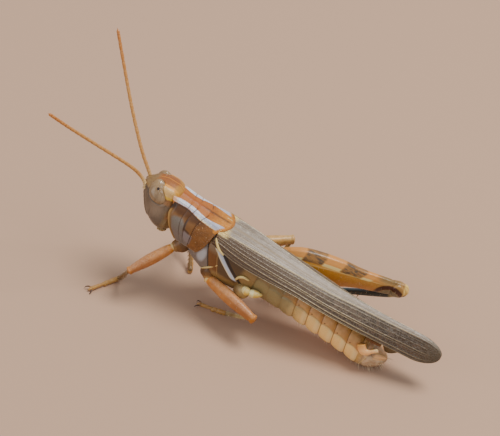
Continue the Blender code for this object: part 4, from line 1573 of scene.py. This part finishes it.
def hind_thigh_rings(count, sides):
    """Rings round the hind thigh, with marks (share, height -1 to 1, 1 on the outer face)."""
    hip = Vector(HIND_HIP)
    knee = Vector(HIND_KNEE)
    ahead, across = bearings(hip, knee)
    if across.x > 0:
        across = -across
    upward = ahead.cross(across)
    if upward.z < 0:
        upward = -upward
    depth = through(HIND_THIGH)
    rings = []
    marks = []
    for j in range(count):
        share = mix(HIND_THIGH[0][0], HIND_THIGH[-1][0], j / (count - 1))
        reach = depth(share)
        centre = hip.lerp(knee, share) + upward * 0.10 * sin(pi * min(max(share, 0.0), 1.0))
        ring = []
        named = []
        thick = 0.56 * reach + 0.10
        for x, y in oval(thick, reach, reach, sides):
            high = y / reach
            outer = step(0.1, 0.5, x / reach)
            crest = 0.07 * hump(abs(high) - 0.98, 0.05)
            rails = 0.05 * (hump(high - 0.52, 0.045) + hump(high + 0.50, 0.045)) * step(0.03, 0.1, share)
            bones = 0.5 + 0.5 * sin(2 * pi * (share * FISHBONES + abs(high) * 1.3))
            inside = step(0.50, 0.42, abs(high)) * step(0.05, 0.12, share) * step(0.86, 0.80, share)
            relief = crest + rails * (0.4 + 0.6 * outer) * step(0.90, 0.84, share)
            relief += (bones * 0.045 - 0.05) * inside * outer
            lobe = ((share - 0.955) * 11.0) ** 2 + (high * 0.62 + 0.02) ** 2
            lobes = 0.07 * step(0.36, 0.22, lobe) - 0.05 * hump(lobe - 0.42, 0.07)
            relief += step(0.885, 0.90, share) * lobes
            relief -= 0.06 * hump(share - 0.895, 0.010)
            out = 1 + relief / max(hypot(x, y), 0.25)
            ring.append(centre + across * x * out + upward * y * out)
            named.append((share, high, x / thick))
        rings.append(ring)
        marks.append(named)
    return rings, marks


def hind_thigh_paint():
    look = Look("hind_thigh_chitin", roughness=0.36, coat=0.2, subsurface=0.08)
    share, high, face = look.split(look.marks())
    grain = look.noise(8, 4)
    cloud = look.noise(1.2, 4)
    ragged = share + (grain - 0.5) * 0.012 - high * 0.10
    start = 0.62 - 0.18 * step(0.25, 0.75, share)
    amber = look.blend(grain, (182, 134, 80), (206, 156, 98))
    amber = look.blend(step(0.75, 0.30, share) * 0.5, amber, (206, 146, 74))

    upper = look.blend(grain, (196, 142, 86), (176, 118, 68))
    rows = step(0.0, 0.04, high - 0.42 - start * 0.55)
    cream = look.blend(rows, (222, 198, 142), (200, 142, 88))
    streaks = look.noise(6, 3, (1.0, 0.10, 1.0))
    dark = look.blend(step(0.40, 0.62, streaks), (146, 106, 64), (88, 70, 52))
    for first, last, shade in ((0.0, 0.125, cream), (0.28, 0.43, cream), (0.60, 0.68, cream),
                               (0.125, 0.28, dark), (0.43, 0.60, dark)):
        upper = look.blend(band(ragged, (first + last) / 2, (last - first) / 2, 0.012), upper, shade)
    outer = step(0.05, 0.35, face)
    bones = look.maths("SINE", (share * FISHBONES + abs(high) * 1.3) * (2 * pi))
    fishbone = look.blend(step(-0.2, 0.7, bones), (96, 70, 46), (190, 168, 128))
    fishbone = look.blend(step(0.60, 0.40, abs(ragged - 0.56)) * 0.35, fishbone, (70, 52, 36))
    side = look.blend(outer * step(0.54, 0.48, abs(high)), amber, fishbone)
    knee = step(0.76, 0.86, share)
    moon_s = (share - 0.895) * 8.3
    moon_h = (high + 0.9) / 1.50
    from_joint = (moon_s ** 2 + moon_h ** 2) ** 0.5
    moon = band(from_joint, 0.86, 0.17, 0.05)
    topside = band(share, 0.875, 0.08, 0.03) * step(0.70, 0.88, high)
    colour = look.layers(
        look.blend(step(start, start + 0.06, high), side, upper),
        (band(high, 0.54, 0.03, 0.02) * step(0.86, 0.80, share) * 0.6, (220, 190, 132)),
        (step(-0.62, -0.70, high), (196, 136, 74)),
        (knee * 0.85, look.blend(cloud, (172, 138, 90), (142, 110, 70))),
        (moon * step(0.76, 0.80, share), (64, 28, 18)),
        (step(0.72, 0.62, from_joint), (122, 112, 88)),
        (topside * 0.6, (96, 80, 52)),
        (step(0.985, 1.0, share) * step(-0.6, -0.2, high), (222, 190, 124)),
        (step(0.52, 0.68, grain) * 0.07, (226, 200, 156)),
    )
    return look.finish(colour, grain + look.noise(3, 3), 0.02, 0.30 + grain * 0.2)


Shape().loft(*hind_thigh_rings(420, 96)).piece("hind_thigh", hind_thigh_paint(), "leg", "femur_hind_right")


def hind_shin_paint():
    look = Look("hind_shin_chitin", roughness=0.32, coat=0.3)
    share = look.split(look.marks())[0]
    grain = look.noise(6, 4)
    spine = step(1.5, 2.0, share)
    colour = look.layers(
        look.blend(grain, (34, 46, 52), (56, 70, 76)),
        (band(share, 0.10, 0.035, 0.02), (150, 140, 100)),
        (step(0.05, 0.03, share), (76, 44, 28)),
        (step(0.30, 1.0, share) * 0.5, (58, 84, 84)),
        (spine, look.blend(step(2.45, 2.55, share), (196, 184, 140), (22, 16, 12))),
    )
    return look.finish(colour, grain, 0.015)


def add_shin_spines(shape, start, end):
    """Eleven spines in one row, ten in the other, and two pairs of movable spurs at the heel."""
    start = Vector(start)
    end = Vector(end)
    ahead, across = bearings(start, end)
    outward = ahead.cross(across)
    if outward.y < 0:
        outward = -outward
    for side, count in ((1, 11), (-1, 10)):
        for k in range(count):
            share = mix(0.30, 0.95, (k + 0.5) / count)
            root = start.lerp(end, share) + (across * side + outward) * 0.14
            out = (across * side * 0.75 + outward * 0.65 + ahead * 0.75).normalized()
            tip = root + out * mix(0.38, 0.60, share)
            add_spike(shape, [root, root.lerp(tip, 0.5), tip], 0.075, 0.8, 8, 8)
        for reach, turn in ((0.85, 0.5), (0.65, 1.0)):
            root = start.lerp(end, 0.975) + across * side * 0.13
            out = ahead + across * side * turn * 0.7 + outward * (0.8 - turn * 0.5)
            tip = root + out.normalized() * reach
            tip.z = max(tip.z, floor_under(tip.y) + 0.06)
            add_spike(shape, [root, root.lerp(tip, 0.5) + outward * 0.04, tip], 0.085, 0.7, 10, 8)


hind_shin_shape = Shape()
hind_shin_size = through([(0.0, 0.20), (0.02, 0.32), (0.06, 0.33), (0.10, 0.30), (0.14, 0.36),
                          (0.3, 0.35), (0.65, 0.24), (0.90, 0.27), (0.97, 0.30), (1.0, 0.16)])
path = between(HIND_JOINT, HIND_HEEL, (-0.01, 0.3, 0.7, 0.99))
hind_shin_shape.loft(tube(path, hind_shin_size, 220, 36, 0.85, 2.5))
add_shin_spines(hind_shin_shape, HIND_JOINT, HIND_HEEL)
hind_shin_shape.piece("hind_shin", hind_shin_paint(), "shin", "tibia_hind_right")

hind_foot_shape = Shape()
add_foot(hind_foot_shape, HIND_HEEL, HIND_TOE)
hind_foot_shape.piece("hind_foot", foot_look, "feeler", "tarsus_hind_right")

hind_hip_look = chitin_paint(
    "hind_hip_chitin", [(0.60, (136, 112, 78), 0.1), (1.0, (176, 148, 100), 0.02)],
    (108, 86, 56), (206, 180, 128))
knob_look = chitin_paint(
    "hip_knob_chitin", [(0.45, (238, 226, 176), 0.05), (1.0, (226, 196, 120), 0.05)],
    (196, 164, 92), (252, 246, 220), 0.3)
hind_hip_size = through([(0.0, 0.62), (0.3, 0.80), (0.6, 0.72), (0.85, 0.46), (1.0, 0.16)])
for side, hand in SIDES:
    rings = tube(mirrored(HIP_PATH, side), hind_hip_size, 60, 40, 0.9, 2.1)
    Shape().loft(rings).piece("hind_hip_" + hand, hind_hip_look, "belly", "coxa_hind_" + hand)

# What is left where the left leg was shed, as (path, how thick along it, rings).
KNOBS = [
    ([(2.42, 13.10, -0.98), (2.58, 13.50, -0.80), (2.52, 13.85, -0.82)],
     [(0.0, 0.10), (0.15, 0.34), (0.5, 0.42), (0.85, 0.30), (1.0, 0.10)], 30),
    ([(2.50, 13.75, -0.88), (2.48, 14.30, -0.66), (2.30, 15.00, -0.44)],
     [(0.0, 0.12), (0.2, 0.38), (0.6, 0.36), (0.9, 0.14), (1.0, 0.04)], 34),
]
knob_shape = Shape()
for path, sizes, count in KNOBS:
    knob_shape.loft(tube(path, through(sizes), count, 24))
knob_shape.piece("shed_hip_joint", knob_look, "belly")


# --- Fine hairs --------------------------------------------------------------------------------
# Sparse pale hairs stand out under the tip, the abdomen and the thorax, and shorter ones lie along
# the legs. Each is a thin curved spike that is set into the skin at its root.

PATCH = 0.003               # how much of the skin's map one hair takes up
FLOOR_BEND = 0.15 * MM      # hairs bend along the floor below this height
HAIR_THICK = 0.034          # thickness and bow of a hair, as shares of its length
HAIR_BOW = 0.16


def hair_spike():
    """One hair of unit length along +Z: four three-sided joints and a point."""
    points = []
    faces = []
    local = []
    for j in range(4):
        up = j / 4
        radius = HAIR_THICK * (1 - up) ** 0.6
        for k in range(3):
            angle = 2 * pi * k / 3
            points.append((radius * cos(angle) + HAIR_BOW * up ** 2, radius * sin(angle), up - 0.06))
            local.append((k / 3, up, 0.0))
    points.append((HAIR_BOW, 0.0, 0.94))
    local.append((0.5, 1.0, 0.0))
    for j in range(3):
        for k in range(3):
            near = j * 3 + k
            after = j * 3 + (k + 1) % 3
            faces.append((near, after, after + 3, near + 3))
    faces += [(9 + k, 9 + (k + 1) % 3, 12) for k in range(3)]
    faces.append((2, 1, 0))
    mesh = bpy.data.meshes.new("hair_spike")
    mesh.from_pydata(points, [], faces)
    stored = mesh.attributes.new("local", "FLOAT_VECTOR", "POINT")
    stored.data.foreach_set("vector", [number for spot in local for number in spot])
    mesh.shade_smooth()
    return add_object("hair_spike", mesh)


def hair_nodes():
    """Scatters hairs over a skin, leans them over, and gives each a small patch of the skin's map."""
    group = bpy.data.node_groups.new("hair_coat", "GeometryNodeTree")
    for name, kind in (("Skin", "Geometry"), ("Hair", "Object"), ("Density", "Float"),
                       ("Shortest", "Float"), ("Longest", "Float"), ("Lean", "Vector"),
                       ("Seed", "Int"), ("Finish", "Material")):
        group.interface.new_socket(name, in_out="INPUT", socket_type="NodeSocket" + kind)
    group.interface.new_socket("Coat", in_out="OUTPUT", socket_type="NodeSocketGeometry")

    def add(kind, inputs, **settings):
        made = group.nodes.new(kind)
        for name, value in settings.items():
            setattr(made, name, value)
        for name, value in inputs.items():
            if isinstance(value, bpy.types.NodeSocket):
                group.links.new(value, made.inputs[name])
            else:
                made.inputs[name].default_value = value
        return made.outputs

    given = add("NodeGroupInput", {})
    spots = add("GeometryNodeDistributePointsOnFaces",
                {0: given["Skin"], "Density": given["Density"], "Seed": given["Seed"]})
    aim = add("ShaderNodeVectorMath", {0: spots["Normal"], 1: given["Lean"]}, operation="ADD")
    turn = add("FunctionNodeAlignRotationToVector", {"Vector": aim[0]}, axis="Z")
    size = add("FunctionNodeRandomValue",
               {2: given["Shortest"], 3: given["Longest"], "Seed": given["Seed"]})
    spike = add("GeometryNodeObjectInfo", {0: given["Hair"]})
    plant = add("GeometryNodeInstanceOnPoints",
                {0: spots["Points"], "Instance": spike["Geometry"], "Rotation": turn["Rotation"],
                 "Scale": size[1]})
    real = add("GeometryNodeRealizeInstances", {0: plant[0]})
    root = add("GeometryNodeInputNamedAttribute", {0: "marks"}, data_type="FLOAT_VECTOR")
    local = add("GeometryNodeInputNamedAttribute", {0: "local"}, data_type="FLOAT_VECTOR")
    marks = add("ShaderNodeSeparateXYZ", {0: root[0]})
    angle = add("ShaderNodeMath", {0: marks[2], 1: marks[1]}, operation="ARCTAN2")
    around = add("ShaderNodeMath", {0: angle[0], 1: 0.5 / pi, 2: 0.5}, operation="MULTIPLY_ADD")
    flat = add("ShaderNodeCombineXYZ", {0: marks[0], 1: around[0]})
    patch = add("ShaderNodeVectorMath", {0: local[0], 1: (PATCH, PATCH, PATCH), 2: flat[0]},
                operation="MULTIPLY_ADD")
    stored = add("GeometryNodeStoreNamedAttribute", {0: real[0], 2: "OFBake", 3: patch[0]},
                 data_type="FLOAT2", domain="CORNER")
    painted = add("GeometryNodeSetMaterial", {0: stored[0], 2: given["Finish"]})
    add("NodeGroupOutput", {0: painted[0]})
    return group


def grow_hairs(name, skins, highest, density, lengths, lean, seed):
    """Hairs on the parts of some skins that face less far up than the limit.

    The lowest ones bend along the floor.
    """
    bed = bmesh.new()
    for skin in skins:
        bed.from_mesh(bpy.data.objects[skin].data)
    bald = [face for face in bed.faces if face.normal.z > highest]
    bmesh.ops.delete(bed, geom=bald, context="FACES")
    mesh = bpy.data.meshes.new(name + "_bed")
    bed.to_mesh(mesh)
    bed.free()
    made = add_object(name, mesh)
    coat = made.modifiers.new("coat", "NODES")
    coat.node_group = HAIR_NODES
    values = {"Hair": HAIR_SPIKE, "Density": density / MM ** 2, "Shortest": lengths[0] * MM,
              "Longest": lengths[1] * MM, "Lean": lean, "Seed": seed, "Finish": HAIR_LOOK}
    for item in HAIR_NODES.interface.items_tree:
        if item.name in values:
            coat[item.identifier] = values[item.name]
    ready = made.evaluated_get(bpy.context.evaluated_depsgraph_get())
    grown = bpy.data.meshes.new_from_object(ready)
    for vert in grown.vertices:
        if vert.co.z < FLOOR_BEND:
            vert.co.z = FLOOR_BEND * exp(vert.co.z / FLOOR_BEND - 1)
    made.modifiers.clear()
    made.data = grown
    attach(made, "root")


HAIR_SPIKE = hair_spike()
HAIR_NODES = hair_nodes()
hair_shade = Look("hair_chitin", roughness=0.45)
hair_shade.shader.inputs["Base Color"].default_value = paint(226, 210, 178)
HAIR_LOOK = hair_shade.material
BACKWARD = tuple((Vector(place((0, 1, 0))) - Vector(place((0, 0, 0)))).normalized() * 0.7)
grow_hairs("cup_hairs", ["abdomen_cup"], -0.05, 5.0, (0.40, 0.90), BACKWARD, 3)
grow_hairs("abdomen_hairs", ["abdomen_skin"], -0.45, 2.6, (0.20, 0.50), BACKWARD, 5)
grow_hairs("thorax_hairs", ["thorax_plates"], -0.35, 2.5, (0.20, 0.45), BACKWARD, 7)
grow_hairs("thigh_hairs", ["thigh_" + leg for leg in WALKING_LEGS] + ["hind_thigh"], 0.3, 1.6,
           (0.12, 0.30), (0.0, 0.0, -0.8), 11)
grow_hairs("shin_hairs", ["shin_" + leg for leg in WALKING_LEGS] + ["hind_shin"], 2.0, 5.0,
           (0.12, 0.34), (0.0, 0.0, -0.9), 13)
bpy.data.objects.remove(HAIR_SPIKE)
